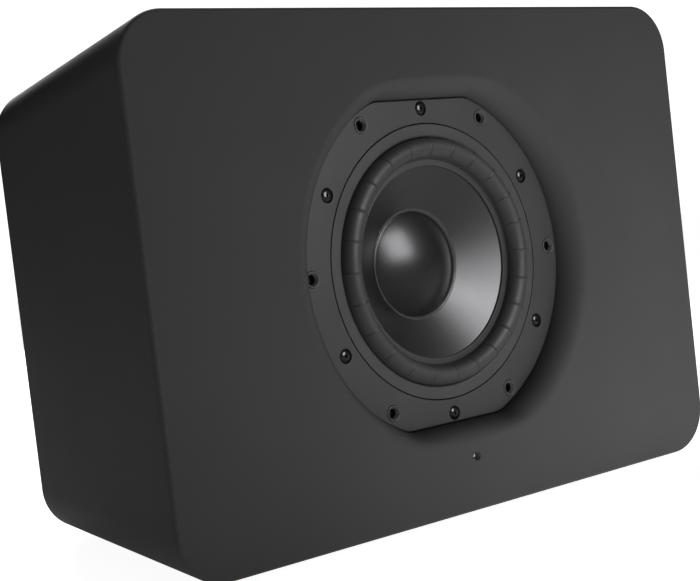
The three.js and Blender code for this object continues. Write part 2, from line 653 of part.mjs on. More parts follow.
// Board on four standoffs, with the heat bridge and three tall round parts.
const AMP_BOARD_Y = AMP_IN_Y - 24;
function ampBoard() {
  const y = AMP_BOARD_Y;
  const standoffs = [[-64, -46], [64, -46], [-64, 24], [64, 24]];
  return csg([
    box(140, 82, y, y + BOARD_T, 0, AMP_Z - 11),
    ...standoffs.map(([x, z]) => rod(3, y + 1, AMP_IN_Y, HOLE_SEGMENTS, x, AMP_Z + z)),
    box(60, 22, y + 1, AMP_IN_Y, 0, AMP_Z - 5),
    ...[8, -14, -36].map((z) => rod(8, y - 18, y + 1, SMALL_SEGMENTS, -48, AMP_Z + z)),
  ]);
}
addPiece('amp_board', ampBoard(), { color: 0x1d4f33, roughness: 0.6 });

addPiece('transformer', turned([
  [12, -22], [24, -22], [29, -18], [29, -4], [24, 0], [12, 0],
], INNER_SEGMENTS, { x: 34, y: AMP_BOARD_Y, z: AMP_Z - 18 }),
{ color: 0xb5762f, roughness: 0.4, metalness: 0.5 });

// Cable from the terminal block to the amplifier board.
function speakerCable() {
  const radius = 2;
  const sides = 8;
  const path = new THREE.CatmullRomCurve3([
    [-5, FLANGE_Y + 30.6, 86], [-5, FLANGE_Y + 40, 85], [-20, 0, 78],
    [-50, 26, 96], [-62, AMP_BOARD_Y - 6, AMP_Z - 40], [-62, AMP_BOARD_Y, AMP_Z - 40],
  ].map((point) => new THREE.Vector3(...point)));
  const outline = range(sides).map((i) => polar(radius, (2 * Math.PI * i) / sides));
  return tidy(extruded(outline, { steps: 16, extrudePath: path }));
}
addPiece('speaker_cable', speakerCable(), { color: 0x7c1d1a, roughness: 0.6 });

// Status light: a lens in the baffle bore and a board behind the baffle.
addPiece('led_lens', turned([
  [0, 1.9], [0.9, 2.1], [1.45, 2.8], [1.45, BAFFLE_T], [0, BAFFLE_T],
], SMALL_SEGMENTS, { y: FRONT_Y, z: LED_Z }), { color: 0xd8e6f4, roughness: 0.15 });

const ledBoard = box(16, 12, BAFFLE_BACK_Y, BAFFLE_BACK_Y + BOARD_T, 0, LED_Z);
addPiece('led_board', ledBoard, GREEN_BOARD);

export default group;
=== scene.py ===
import bpy, bmesh, json, math
import numpy as np
from mathutils import Vector, Matrix
from mathutils.geometry import tessellate_polygon

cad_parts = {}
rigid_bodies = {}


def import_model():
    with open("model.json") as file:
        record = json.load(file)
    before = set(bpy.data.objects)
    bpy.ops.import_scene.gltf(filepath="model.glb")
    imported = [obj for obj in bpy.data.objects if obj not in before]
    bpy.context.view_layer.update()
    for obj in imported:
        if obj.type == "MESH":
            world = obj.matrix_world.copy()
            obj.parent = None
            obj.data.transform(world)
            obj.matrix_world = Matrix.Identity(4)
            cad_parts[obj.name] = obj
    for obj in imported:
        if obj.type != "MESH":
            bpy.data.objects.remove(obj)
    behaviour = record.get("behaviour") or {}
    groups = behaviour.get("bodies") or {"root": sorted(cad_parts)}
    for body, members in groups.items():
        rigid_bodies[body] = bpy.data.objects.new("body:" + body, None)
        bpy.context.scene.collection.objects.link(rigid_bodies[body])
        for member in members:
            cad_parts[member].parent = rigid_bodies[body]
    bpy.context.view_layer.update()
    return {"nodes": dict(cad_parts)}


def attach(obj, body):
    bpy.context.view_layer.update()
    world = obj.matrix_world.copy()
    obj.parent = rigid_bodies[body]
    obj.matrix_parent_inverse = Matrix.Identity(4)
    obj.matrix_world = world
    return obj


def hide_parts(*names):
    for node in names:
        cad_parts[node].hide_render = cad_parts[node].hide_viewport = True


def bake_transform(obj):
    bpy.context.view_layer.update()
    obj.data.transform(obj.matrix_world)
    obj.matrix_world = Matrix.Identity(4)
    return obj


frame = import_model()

NODES = frame["nodes"]
MM = 0.001

# ------------------------------------------------------------------ dimensions
CAB_W, CAB_D, CAB_H, CAB_R = 485.0, 160.0, 335.0, 34.0
FRONT_ROUND, REAR_ROUND, FEET_H = 2.5, 5.0, 4.0
BAFFLE_T, WRAP_T, REAR_T = 30.0, 15.0, 18.0
DRV_Z, RECESS_DEPTH, RECESS_ROUND = 172.0, 12.0, 13.0
FLANGE_R, FLANGE_FLAT, FLANGE_T, FLANGE_HOLE_R, FLANGE_GAP = 117.5, 109.5, 6.0, 93.6, 0.6
CUTOUT_R, SCREW_R, SOCKET_R, LED_Z = 97.0, 103.5, 109.5, 40.5
AMP_Z, AMP_W, AMP_H = 171.5, 196.0, 236.0
Y_FRONT, Y_REAR = -80.0, 80.0
Y_BAF, Y_RIN = Y_FRONT + BAFFLE_T, Y_REAR - REAR_T
FY = Y_FRONT + RECESS_DEPTH
CAB_ZC = FEET_H + CAB_H / 2
PANEL_Y = Y_RIN + 5
PANEL_OUT = PANEL_Y + 2.5
CTRL_Z, ROW_Z = AMP_Z + 72, AMP_Z - 78

ROOT, CONE = "cabinet_body", "cone_body"


# --------------------------------------------------------------------- shaping
def smin(a, b, k):
    h = min(1.0, max(0.0, 0.5 + 0.5 * (b - a) / k))
    return b * (1 - h) + a * h - k * h * (1 - h)


def flange_angles():
    c = math.degrees(math.asin(FLANGE_FLAT / FLANGE_R))
    out = set()
    for i in range(180):
        out.add(round(i * 2.0, 4))
    for base in (c, 180 - c, 180 + c, 360 - c):
        for k in range(-16, 17):
            out.add(round((base + k * 0.35) % 360, 4))
    return [math.radians(a) for a in sorted(out)]


FA = flange_angles()


def flange_outline(grow, k=1.6):
    pts = []
    for a in FA:
        r1 = FLANGE_R + grow
        r2 = (FLANGE_FLAT + grow) / max(1e-4, abs(math.sin(a)))
        r = smin(r1, r2, k)
        pts.append((r * math.cos(a), DRV_Z + r * math.sin(a)))
    return pts


def circle(r, n, cx=0.0, cz=0.0, phase=0.0):
    return [(cx + r * math.cos(2 * math.pi * i / n + phase), cz + r * math.sin(2 * math.pi * i / n + phase)) for i in range(n)]


def rrect(w, h, r, steps, xc=0.0, zc=0.0):
    out = []
    for cx, cz, a0 in ((w / 2 - r, h / 2 - r, 0), (-w / 2 + r, h / 2 - r, 90), (-w / 2 + r, -h / 2 + r, 180), (w / 2 - r, -h / 2 + r, 270)):
        for i in range(steps + 1):
            a = math.radians(a0 + 90.0 * i / steps)
            out.append((xc + cx + r * math.cos(a), zc + cz + r * math.sin(a)))
    return out


def cab(inset, steps=28):
    return rrect(CAB_W - 2 * inset, CAB_H - 2 * inset, CAB_R - inset, steps, 0, CAB_ZC)


def rp(points, closed=True, step=12.0):
    """Rounds the corners of a profile: each point is (a, b) or (a, b, radius)."""
    n = len(points)
    out = []
    for i, p in enumerate(points):
        rad = p[2] if len(p) > 2 else 0.0
        if rad <= 0 or (not closed and i in (0, n - 1)):
            out.append((p[0], p[1]))
            continue
        A, P, C = (np.array(points[(i - 1) % n][:2], float), np.array(p[:2], float), np.array(points[(i + 1) % n][:2], float))
        u, v = A - P, C - P
        lu, lv = np.linalg.norm(u), np.linalg.norm(v)
        u, v = u / lu, v / lv
        cosphi = float(np.clip(u @ v, -1, 1))
        phi = math.acos(cosphi)
        if phi > math.pi - 1e-3 or phi < 1e-3:
            out.append((p[0], p[1]))
            continue
        t = rad / math.tan(phi / 2)
        lim = 0.48 * min(lu, lv)
        if t > lim:
            rad *= lim / t
            t = lim
        s, e = P + u * t, P + v * t
        w = (u + v) / np.linalg.norm(u + v)
        c = P + w * rad / math.sin(phi / 2)
        a0 = math.atan2(*(s - c)[::-1])
        a1 = math.atan2(*(e - c)[::-1])
        d = (a1 - a0 + math.pi) % (2 * math.pi) - math.pi
        m = max(2, int(math.ceil(abs(math.degrees(d)) / step)))
        for k in range(m + 1):
            a = a0 + d * k / m
            out.append((c[0] + rad * math.cos(a), c[1] + rad * math.sin(a)))
    return out


class Shape:
    def __init__(self):
        self.v, self.f = [], []

    def loop(self, outline, y):
        i = len(self.v)
        self.v.extend((p[0], y, p[1]) for p in outline)
        return list(range(i, i + len(outline)))

    def loop3(self, pts):
        i = len(self.v)
        self.v.extend(tuple(p) for p in pts)
        return list(range(i, i + len(pts)))

    def bridge(self, a, b):
        n = len(a)
        for i in range(n):
            j = (i + 1) % n
            self.f.append((a[i], a[j], b[j], b[i]))

    def chain(self, loops):
        for a, b in zip(loops, loops[1:]):
            self.bridge(a, b)

    def cap(self, *loops, axes=(0, 2)):
        polys = [[Vector((self.v[i][axes[0]], self.v[i][axes[1]], 0)) for i in l] for l in loops]
        idx = [i for l in loops for i in l]
        for t in tessellate_polygon(polys):
            self.f.append(tuple(idx[k] for k in t))

    def make(self, name, material, body, smooth=32.0, weighted=True, merge=0.0):
        me = bpy.data.meshes.new(name)
        bm = bmesh.new()
        vs = [bm.verts.new((x * MM, y * MM, z * MM)) for x, y, z in self.v]
        bm.verts.ensure_lookup_table()
        for f in self.f:
            q = []
            for i in f:
                if not q or q[-1] != i:
                    q.append(i)
            if len(q) > 2 and q[0] == q[-1]:
                q.pop()
            if len(set(q)) >= 3:
                try:
                    bm.faces.new([vs[i] for i in q])
                except ValueError:
                    pass
        loose = [v for v in bm.verts if not v.link_faces]
        if loose:
            bmesh.ops.delete(bm, geom=loose, context="VERTS")
        if merge:
            bmesh.ops.remove_doubles(bm, verts=bm.verts, dist=merge * MM)
        bmesh.ops.recalc_face_normals(bm, faces=bm.faces)
        bm.to_mesh(me)
        bm.free()
        return finish_object(name, me, material, body, smooth, weighted)


def finish_object(name, me, material, body, smooth=32.0, weighted=True):
    ob = bpy.data.objects.new(name, me)
    bpy.context.scene.collection.objects.link(ob)
    me.shade_smooth()
    if smooth:
        me.set_sharp_from_angle(angle=math.radians(smooth))
    if weighted:
        m = ob.modifiers.new("weighted", "WEIGHTED_NORMAL")
        m.mode, m.weight, m.keep_sharp = "FACE_AREA", 50, True
    if material:
        me.materials.clear()
        me.materials.append(material)
    if body:
        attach(ob, body)
    return ob


def revolve(name, prof, material, body, seg=192, cx=0.0, cz=DRV_Z, closed=True, angles=None, move=None, smooth=32.0, y0=FY, s=1.0):
    """Turns a profile of (radius, height) about an axis along Y; y = y0 + s * height."""
    sh = Shape()
    ang = angles if angles is not None else [2 * math.pi * i / seg for i in range(seg)]
    loops = []
    for k, (r, h) in enumerate(prof):
        if r < 1e-6:
            i = len(sh.v)
            sh.v.append((cx, y0 + s * h, cz))
            loops.append([i] * len(ang))
            continue
        pts = []
        for a in ang:
            rr, hh = (r, h) if move is None else move(k, r, h, a)
            pts.append((cx + rr * math.cos(a), y0 + s * hh, cz + rr * math.sin(a)))
        loops.append(sh.loop3(pts))
    sh.chain(loops + ([loops[0]] if closed else []))
    return sh.make(name, material, body, smooth=smooth)


def soft_box(name, x0, x1, y0, y1, z0, z1, material, body, r=0.8, seg=4, smooth=40.0):
    me = bpy.data.meshes.new(name)
    bm = bmesh.new()
    bmesh.ops.create_cube(bm, size=1.0)
    for v in bm.verts:
        v.co = Vector(((x0 + x1) / 2 + v.co.x * (x1 - x0), (y0 + y1) / 2 + v.co.y * (y1 - y0), (z0 + z1) / 2 + v.co.z * (z1 - z0))) * MM
    bmesh.ops.bevel(bm, geom=list(bm.edges), offset=r * MM, segments=seg, profile=0.5, affect="EDGES", clamp_overlap=True)
    bmesh.ops.recalc_face_normals(bm, faces=bm.faces)
    bm.to_mesh(me)
    bm.free()
    return finish_object(name, me, material, body, smooth)


def join(name, obs):
    """Joins finished objects into the first one, keeping its material slots."""
    base = obs[0]
    mats = []
    bm = bmesh.new()
    for o in obs:
        m = o.data.materials[0] if o.data.materials else None
        if m not in mats:
            mats.append(m)
        k = len(bm.faces)
        bm.from_mesh(o.data)
        bm.faces.ensure_lookup_table()
        for f in bm.faces[k:]:
            f.material_index = mats.index(m)
    bm.to_mesh(base.data)
    bm.free()
    base.data.materials.clear()
    for m in mats:
        base.data.materials.append(m)
    for o in obs[1:]:
        bpy.data.objects.remove(o, do_unlink=True)
    base.name = name
    return base


# ------------------------------------------------------------------- materials
def new_mat(name):
    m = bpy.data.materials.new(name)
    m.use_nodes = True
    nt = m.node_tree
    nt.nodes.clear()
    out = nt.nodes.new("ShaderNodeOutputMaterial")
    bs = nt.nodes.new("ShaderNodeBsdfPrincipled")
    nt.links.new(bs.outputs["BSDF"], out.inputs["Surface"])
    return m, nt, bs


def node(nt, kind, **kw):
    n = nt.nodes.new(kind)
    for k, v in kw.items():
        if hasattr(n, k):
            setattr(n, k, v)
        else:
            n.inputs[k].default_value = v
    return n


def noise(nt, coord, scale, detail=3.0, rough=0.5, dist=0.0):
    n = nt.nodes.new("ShaderNodeTexNoise")
    n.inputs["Scale"].default_value = scale
    n.inputs["Detail"].default_value = detail
    n.inputs["Roughness"].default_value = rough
    n.inputs["Distortion"].default_value = dist
    nt.links.new(coord, n.inputs["Vector"])
    return n.outputs["Fac"]


def rng(nt, fac, lo, hi, a=0.3, b=0.7):
    n = nt.nodes.new("ShaderNodeMapRange")
    n.inputs["From Min"].default_value = a
    n.inputs["From Max"].default_value = b
    n.inputs["To Min"].default_value = lo
    n.inputs["To Max"].default_value = hi
    nt.links.new(fac, n.inputs["Value"])
    return n.outputs["Result"]


def mixc(nt, fac, c1, c2):
    n = nt.nodes.new("ShaderNodeMix")
    n.data_type = "RGBA"
    for sock, c in ((n.inputs["A"], c1), (n.inputs["B"], c2)):
        if isinstance(c, (tuple, list)):
            sock.default_value = (*c, 1.0) if len(c) == 3 else c
        else:
            nt.links.new(c, sock)
    if isinstance(fac, float):
        n.inputs["Factor"].default_value = fac
    else:
        nt.links.new(fac, n.inputs["Factor"])
    return n.outputs["Result"]


def bump(nt, bs, layers):
    """layers: (height socket, strength, distance in mm)."""
    prev = None
    for h, strength, dist in layers:
        b = nt.nodes.new("ShaderNodeBump")
        b.inputs["Strength"].default_value = strength
        b.inputs["Distance"].default_value = dist * MM
        nt.links.new(h, b.inputs["Height"])
        if prev is not None:
            nt.links.new(prev, b.inputs["Normal"])
        prev = b.outputs["Normal"]
    nt.links.new(prev, bs.inputs["Normal"])


def gen(name, base, rough, metal=0.0, spec=0.5, vary=0.12, grain=((900.0, 0.25, 0.05),), mott=18.0, rvar=0.06, coat=0.0, coat_rough=0.2, fleck=None, sheen=0.0, aniso=0.0):
    """A finish with slow colour drift, fine grain, roughness variation and bump."""
    m, nt, bs = new_mat(name)
    tc = nt.nodes.new("ShaderNodeTexCoord")
    co = tc.outputs["Object"]
    slow = noise(nt, co, mott, 4.0, 0.55)
    fine = noise(nt, co, grain[0][0], 2.0, 0.6)
    lo = tuple(max(0.0, c * (1 - vary)) for c in base)
    hi = tuple(min(1.0, c * (1 + vary)) for c in base)
    col = mixc(nt, rng(nt, slow, 0.0, 1.0), lo, hi)
    col = mixc(nt, rng(nt, fine, 0.0, 0.5, 0.35, 0.75), col, tuple(min(1.0, c * (1 + 2.2 * vary)) for c in base))
    if fleck:
        fs, fc, th = fleck
        f = noise(nt, co, fs, 1.0, 0.5)
        col = mixc(nt, rng(nt, f, 0.0, 1.0, th, th + 0.05), col, fc)
    nt.links.new(col, bs.inputs["Base Color"])
    r = rng(nt, noise(nt, co, mott * 2.3, 3.0, 0.6), rough - rvar, rough + rvar)
    nt.links.new(r, bs.inputs["Roughness"])
    bs.inputs["Metallic"].default_value = metal
    bs.inputs["Specular IOR Level"].default_value = spec
    if coat:
        bs.inputs["Coat Weight"].default_value = coat
        bs.inputs["Coat Roughness"].default_value = coat_rough
    if sheen:
        bs.inputs["Sheen Weight"].default_value = sheen
        bs.inputs["Sheen Roughness"].default_value = 0.4
    if aniso:
        bs.inputs["Anisotropic"].default_value = aniso
    bump(nt, bs, [(noise(nt, co, s, 3.0, 0.55), st, d) for s, st, d in grain])
    return m


M = {}
M["lacquer"] = gen("satin_black_lacquer", (0.046, 0.046, 0.047), 0.55, spec=0.30, vary=0.07, grain=((1500.0, 0.10, 0.03), (330.0, 0.06, 0.08)), mott=9.0, rvar=0.03)
M["rear"] = gen("satin_black_rear", (0.042, 0.042, 0.043), 0.55, spec=0.4, vary=0.08, grain=((1300.0, 0.12, 0.03), (300.0, 0.08, 0.08)), mott=9.0, rvar=0.03)
M["coat"] = gen("powder_coat_black", (0.031, 0.031, 0.0315), 0.42, spec=0.46, vary=0.10, grain=((2200.0, 0.22, 0.05), (700.0, 0.12, 0.06)), mott=30.0, rvar=0.04)
M["trim"] = gen("textured_trim", (0.036, 0.036, 0.037), 0.48, spec=0.45, vary=0.12, grain=((1800.0, 0.35, 0.07), (600.0, 0.12, 0.05)), mott=40.0, rvar=0.04)
M["rubber"] = gen("satin_rubber", (0.030, 0.030, 0.031), 0.44, spec=0.5, vary=0.10, grain=((1400.0, 0.12, 0.03),), mott=35.0, rvar=0.05)
M["cone"] = gen("satin_cone", (0.108, 0.108, 0.111), 0.315, metal=1.0, spec=0.5, vary=0.03, grain=((500.0, 0.02, 0.02),), mott=22.0, rvar=0.015)
M["cap"] = gen("satin_dust_cap", (0.078, 0.078, 0.080), 0.30, metal=1.0, spec=0.5, vary=0.03, grain=((600.0, 0.02, 0.02),), mott=28.0, rvar=0.012)
M["screw"] = gen("black_oxide", (0.080, 0.080, 0.084), 0.09, metal=1.0, spec=0.6, vary=0.10, grain=((1600.0, 0.04, 0.02),), mott=200.0, rvar=0.03)
M["socket"] = gen("socket_moulding", (0.050, 0.050, 0.051), 0.30, spec=0.65, vary=0.10, grain=((1800.0, 0.12, 0.02),), mott=120.0, rvar=0.05)
# near-black painted shade: stands in for the shade deep inside the grille socket holes
M["bore"] = gen("socket_bore", (0.007, 0.007, 0.007), 0.55, spec=0.3, vary=0.2, grain=((900.0, 0.2, 0.03),), mott=200.0)
M["glue"] = gen("black_glue", (0.034, 0.034, 0.035), 0.30, spec=0.6, vary=0.10, grain=((200.0, 0.12, 0.12),), mott=120.0, rvar=0.04)
M["plastic"] = gen("moulded_black", (0.020, 0.020, 0.021), 0.42, vary=0.12, grain=((1700.0, 0.2, 0.04),), mott=60.0)
M["gloss"] = gen("gloss_black", (0.012, 0.012, 0.013), 0.16, spec=0.6, vary=0.1, grain=((600.0, 0.03, 0.02),), mott=60.0, rvar=0.03)
M["knob"] = gen("knob_satin", (0.024, 0.024, 0.025), 0.40, vary=0.12, grain=((1900.0, 0.15, 0.03),), mott=70.0)
M["panel"] = gen("panel_powder_coat", (0.026, 0.026, 0.027), 0.48, spec=0.5, vary=0.12, grain=((1900.0, 0.35, 0.07), (500.0, 0.15, 0.06)), mott=26.0, rvar=0.04)
M["fins"] = gen("black_anodised", (0.052, 0.052, 0.054), 0.45, metal=0.35, vary=0.12, grain=((1500.0, 0.12, 0.02),), mott=45.0)
M["print"] = gen("white_print", (0.62, 0.62, 0.60), 0.55, vary=0.05, grain=((1500.0, 0.1, 0.01),), mott=80.0)
M["gold"] = gen("gold_plate", (0.78, 0.52, 0.20), 0.24, metal=1.0, vary=0.06, grain=((1500.0, 0.05, 0.01),), mott=150.0)
M["white_ins"] = gen("white_insulator", (0.72, 0.71, 0.68), 0.42, vary=0.04, grain=((1200.0, 0.1, 0.02),), mott=120.0)
M["red_ins"] = gen("red_insulator", (0.45, 0.02, 0.02), 0.40, vary=0.08, grain=((1200.0, 0.1, 0.02),), mott=120.0)
M["steel"] = gen("zinc_plated_steel", (0.55, 0.56, 0.58), 0.30, metal=1.0, vary=0.08, grain=((900.0, 0.12, 0.02),), mott=60.0)
M["brass_pin"] = gen("nickel_pin", (0.62, 0.60, 0.56), 0.25, metal=1.0, vary=0.06, grain=((900.0, 0.06, 0.01),), mott=90.0)
M["foot"] = gen("foot_rubber", (0.022, 0.022, 0.022), 0.70, vary=0.15, grain=((1200.0, 0.4, 0.08),), mott=80.0)
M["board"] = gen("bare_fibreboard", (0.36, 0.25, 0.145), 0.85, vary=0.14, grain=((700.0, 0.4, 0.10), (2500.0, 0.3, 0.05)), mott=60.0, fleck=(1600.0, (0.24, 0.16, 0.09), 0.62))
M["felt"] = gen("polyester_felt", (0.30, 0.31, 0.30), 0.95, vary=0.25, grain=((900.0, 0.9, 0.5), (220.0, 0.7, 1.0)), mott=50.0, sheen=0.4)
M["pcb"] = gen("green_solder_mask", (0.020, 0.110, 0.050), 0.34, vary=0.18, grain=((260.0, 0.3, 0.06), (1200.0, 0.2, 0.03)), mott=120.0, fleck=(420.0, (0.45, 0.36, 0.16), 0.66))
M["copper"] = gen("enamelled_copper", (0.62, 0.26, 0.10), 0.30, metal=0.9, vary=0.12, grain=((1300.0, 0.4, 0.08),), mott=90.0)
M["film"] = gen("amber_film", (0.48, 0.26, 0.07), 0.35, vary=0.08, grain=((900.0, 0.1, 0.02),), mott=80.0)
M["cloth"] = gen("treated_cloth", (0.50, 0.32, 0.11), 0.80, vary=0.14, grain=((1500.0, 0.8, 0.2), (500.0, 0.4, 0.1)), mott=90.0, sheen=0.3)
M["ferrite"] = gen("ferrite", (0.045, 0.045, 0.047), 0.62, vary=0.16, grain=((900.0, 0.3, 0.06),), mott=60.0)
M["cable"] = gen("cable_jacket", (0.30, 0.02, 0.02), 0.48, vary=0.1, grain=((900.0, 0.15, 0.03),), mott=90.0)
M["foam"] = gen("gasket_foam", (0.02, 0.02, 0.02), 0.9, vary=0.2, grain=((1800.0, 0.9, 0.2),), mott=90.0)


def lens_mat():
    m, nt, bs = new_mat("clear_lens")
    tc = nt.nodes.new("ShaderNodeTexCoord")
    n = noise(nt, tc.outputs["Object"], 900.0)
    nt.links.new(mixc(nt, rng(nt, n, 0.0, 1.0), (0.42, 0.45, 0.48), (0.60, 0.63, 0.66)), bs.inputs["Base Color"])
    bs.inputs["Roughness"].default_value = 0.10
    bs.inputs["Coat Weight"].default_value = 0.6
    bs.inputs["Coat Roughness"].default_value = 0.05
    return m


M["lens"] = lens_mat()

# --------------------------------------------------------------------- cabinet
def arc_sections(r, y_edge, s, steps=8):
    """Insets and y values of a rounded edge; s is +1 when the solid lies towards +Y."""
    out = []
    for i in range(steps + 1):
        a = math.radians(90.0 * i / steps)
        out.append((r * (1 - math.sin(a)), y_edge + s * r * (1 - math.cos(a))))
    return out


def build_baffle():
    sh = Shape()
    outer = [sh.loop(cab(i), y) for i, y in arc_sections(FRONT_ROUND, Y_FRONT, 1, 10)]
    outer.append(sh.loop(cab(0), Y_BAF))
    sh.chain(outer)
    steps = 18
    rec = []
    for i in range(steps + 1):
        a = math.radians(90.0 * i / steps)
        g = FLANGE_GAP + RECESS_ROUND * (1 - math.sin(a))
        rec.append(sh.loop(flange_outline(g, 1.6 + 1.0 * (g - FLANGE_GAP)), Y_FRONT + RECESS_DEPTH * (1 - math.cos(a))))
    rec.append(sh.loop(flange_outline(FLANGE_GAP), FY + FLANGE_T + 0.5))
    sh.chain(rec)
    cut0 = sh.loop(circle(CUTOUT_R, 160, 0, DRV_Z), FY + FLANGE_T + 0.5)
    cut1 = sh.loop(circle(CUTOUT_R, 160, 0, DRV_Z), Y_BAF)
    sh.cap(rec[-1], cut0)
    sh.bridge(cut0, cut1)
    led = []
    for r, d in rp([(3.9, 0.0), (3.2, 0.12, 1.2), (2.3, 1.7, 1.0), (1.8, 2.4, 0.6), (1.7, 5.0), (1.7, BAFFLE_T)], closed=False, step=10):
        led.append(sh.loop(circle(r, 48, 0, LED_Z), Y_FRONT + d))
    sh.chain(led)
    sh.cap(outer[0], rec[0], led[0])
    sh.cap(outer[-1], cut1, led[-1])
    ob = sh.make("cabinet_front_baffle", M["lacquer"], ROOT)
    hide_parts("front_baffle")


def build_wrap():
    sh = Shape()
    ys = (Y_BAF, -20.0, 20.0, Y_RIN)
    a = [sh.loop(cab(0), y) for y in ys]
    b = [sh.loop(cab(WRAP_T), y) for y in ys]
    sh.chain(a)
    sh.chain(b)
    sh.bridge(a[0], b[0])
    sh.bridge(a[-1], b[-1])
    ob = sh.make("cabinet_wrap_shell", M["lacquer"], ROOT)
    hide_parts("cabinet_wrap")


def build_rear():
    sh = Shape()
    outer = [sh.loop(cab(i), y) for i, y in arc_sections(REAR_ROUND, Y_REAR, -1, 8)]
    outer.append(sh.loop(cab(0), Y_RIN))
    sh.chain(outer)
    op = lambda g: rrect(AMP_W + 1 + 2 * g, AMP_H + 1 + 2 * g, 8.5 + g, 12, 0, AMP_Z)
    reb = [sh.loop(op(2.0 * (1 - math.sin(math.radians(a)))), Y_REAR - 2.0 * (1 - math.cos(math.radians(a)))) for a in range(0, 91, 15)]
    reb.append(sh.loop(op(0), PANEL_Y))
    sh.chain(reb)
    win = rrect(AMP_W - 26, AMP_H - 26, 6, 10, 0, AMP_Z)
    w0, w1 = sh.loop(win, PANEL_Y), sh.loop(win, Y_RIN)
    sh.cap(reb[-1], w0)
    sh.bridge(w0, w1)
    sh.cap(outer[0], reb[0])
    sh.cap(outer[-1], w1)
    ob = sh.make("cabinet_rear_panel", M["rear"], ROOT)
    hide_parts("rear_panel")


build_baffle()
build_wrap()
build_rear()

for nm, sx, sy in (("foot_front_left", -1, -1), ("foot_front_right", 1, -1), ("foot_rear_left", -1, 1), ("foot_rear_right", 1, 1)):
    sh = Shape()
    prof = rp([(0, 0.5), (6.0, 0.5, 0.3), (6.6, 0.0, 0.3), (13.6, 0.0, 0.6), (15.0, 1.4, 0.8), (15.0, 4.0), (0, 4.0)], closed=False)
    loops = []
    for r, h in prof:
        if r < 1e-6:
            i = len(sh.v)
            sh.v.append((sx * 185.0, sy * 44.0, h))
            loops.append([i] * 64)
        else:
            loops.append(sh.loop3([(sx * 185 + r * math.cos(2 * math.pi * k / 64), sy * 44 + r * math.sin(2 * math.pi * k / 64), h) for k in range(64)]))
    sh.chain(loops)
    ob = sh.make(nm + "_rubber", M["foot"], ROOT)
    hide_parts(nm)


# ---------------------------------------------------------------------- driver
def polar(r, deg):
    a = math.radians(deg)
    return r * math.cos(a), DRV_Z + r * math.sin(a)


def build_basket():
    sh = Shape()
    edge = [(-0.9 + 0.9 * math.sin(math.radians(a)), 0.9 * (1 - math.cos(math.radians(a)))) for a in range(0, 91, 15)]
    out = [sh.loop(flange_outline(g), FY + d) for g, d in edge]
    out.append(sh.loop(flange_outline(0), FY + FLANGE_T))
    sh.chain(out)
    n = 192
    inner = [sh.loop(circle(r, n, 0, DRV_Z), FY + d) for r, d in rp([(FLANGE_HOLE_R + 0.5, 0.0), (FLANGE_HOLE_R + 0.15, 0.12), (FLANGE_HOLE_R, 0.5), (FLANGE_HOLE_R, FLANGE_T)], closed=False)]
    sh.chain(inner)
    fronts, backs = [inner[0]], [inner[-1]]
    for i in range(6):
        x, z = polar(SCREW_R, 30 + 60 * i)
        prof = rp([(5.25, 0.0), (4.95, 0.12, 0.2), (4.85, 2.6, 0.3), (2.4, 2.6, 0.2), (2.4, FLANGE_T)], closed=False)
        ls = [sh.loop(circle(r, 40, x, z), FY + d) for r, d in prof]
        sh.chain(ls)
        fronts.append(ls[0])
        backs.append(ls[-1])
        x, z = polar(SOCKET_R, 60 * i)
        prof = rp([(5.85, 0.0), (5.65, 0.08), (5.6, 0.3), (5.6, FLANGE_T)], closed=False)
        ls = [sh.loop(circle(r, 40, x, z), FY + d) for r, d in prof]
        sh.chain(ls)
        fronts.append(ls[0])
        backs.append(ls[-1])
    sh.cap(out[0], *fronts)
    sh.cap(out[-1], *backs)
    flange = sh.make("basket_flange", M["coat"], None)

    prof = rp([(83, 6), (96.4, 6, 0.3), (96.4, 9, 0.8), (91, 12, 2), (70, 40, 6), (62, 50, 3), (54, 55, 1.5), (30, 55, 0.4), (30, 52, 0.4), (50, 52, 1.5),
               (57, 46, 2), (57, 41, 0.4), (64, 41, 0.8), (83, 13, 2)], closed=True, step=20)
    bowl = revolve("basket_bowl", prof, M["coat"], None, seg=120)
    cutters = []
    for i in range(6):
        for r0, r1, d0, d1, half in ((58, 110, 15, 38, 21), (52.5, 75, 43.5, 50.5, 12)):
            c = Shape()
            sect = [polar(r1, 60 * i - half + 2 * half * k / 12) for k in range(13)] + [polar(r0, 60 * i + half - 2 * half * k / 12) for k in range(13)]
            a, b = c.loop(sect, FY + d0), c.loop(sect, FY + d1)
            c.bridge(a, b)
            c.cap(a)
            c.cap(b)
            cutters.append(c.make("cut", None, None, weighted=False))
    col = bpy.data.collections.new("cutters")
    bpy.context.scene.collection.children.link(col)
    for c in cutters:
        bpy.context.scene.collection.objects.unlink(c)
        col.objects.link(c)
    md = bowl.modifiers.new("cut", "BOOLEAN")
    md.operand_type, md.collection, md.operation, md.solver = "COLLECTION", col, "DIFFERENCE", "EXACT"
    bowl.modifiers.move(len(bowl.modifiers) - 1, 0)
    dg = bpy.context.evaluated_depsgraph_get()
    me = bpy.data.meshes.new_from_object(bowl.evaluated_get(dg))
    bowl.modifiers.clear()
    bowl.data = me
    for c in cutters:
        bpy.data.objects.remove(c, do_unlink=True)
    bpy.data.collections.remove(col)
    bowl.data.materials.clear()
    bowl.data.materials.append(M["coat"])
    ob = join("driver_basket", [flange, bowl])
    ob.data.set_sharp_from_angle(angle=math.radians(32))
    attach(ob, ROOT)
    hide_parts("basket")


build_basket()

ob = revolve("driver_trim_ring", rp([(84.0, 5.0), (84.0, 0.0, 1.9), (92.95, 0.0, 0.5), (92.95, 5.0)], step=8), M["trim"], ROOT, seg=256)
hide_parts("trim_ring")

ob = revolve("driver_gasket", rp([(97.6, 6.0), (100.6, 6.0, 0.1), (100.6, 6.5, 0.1), (97.6, 6.5)]), M["foam"], ROOT, seg=160)
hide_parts("flange_gasket")

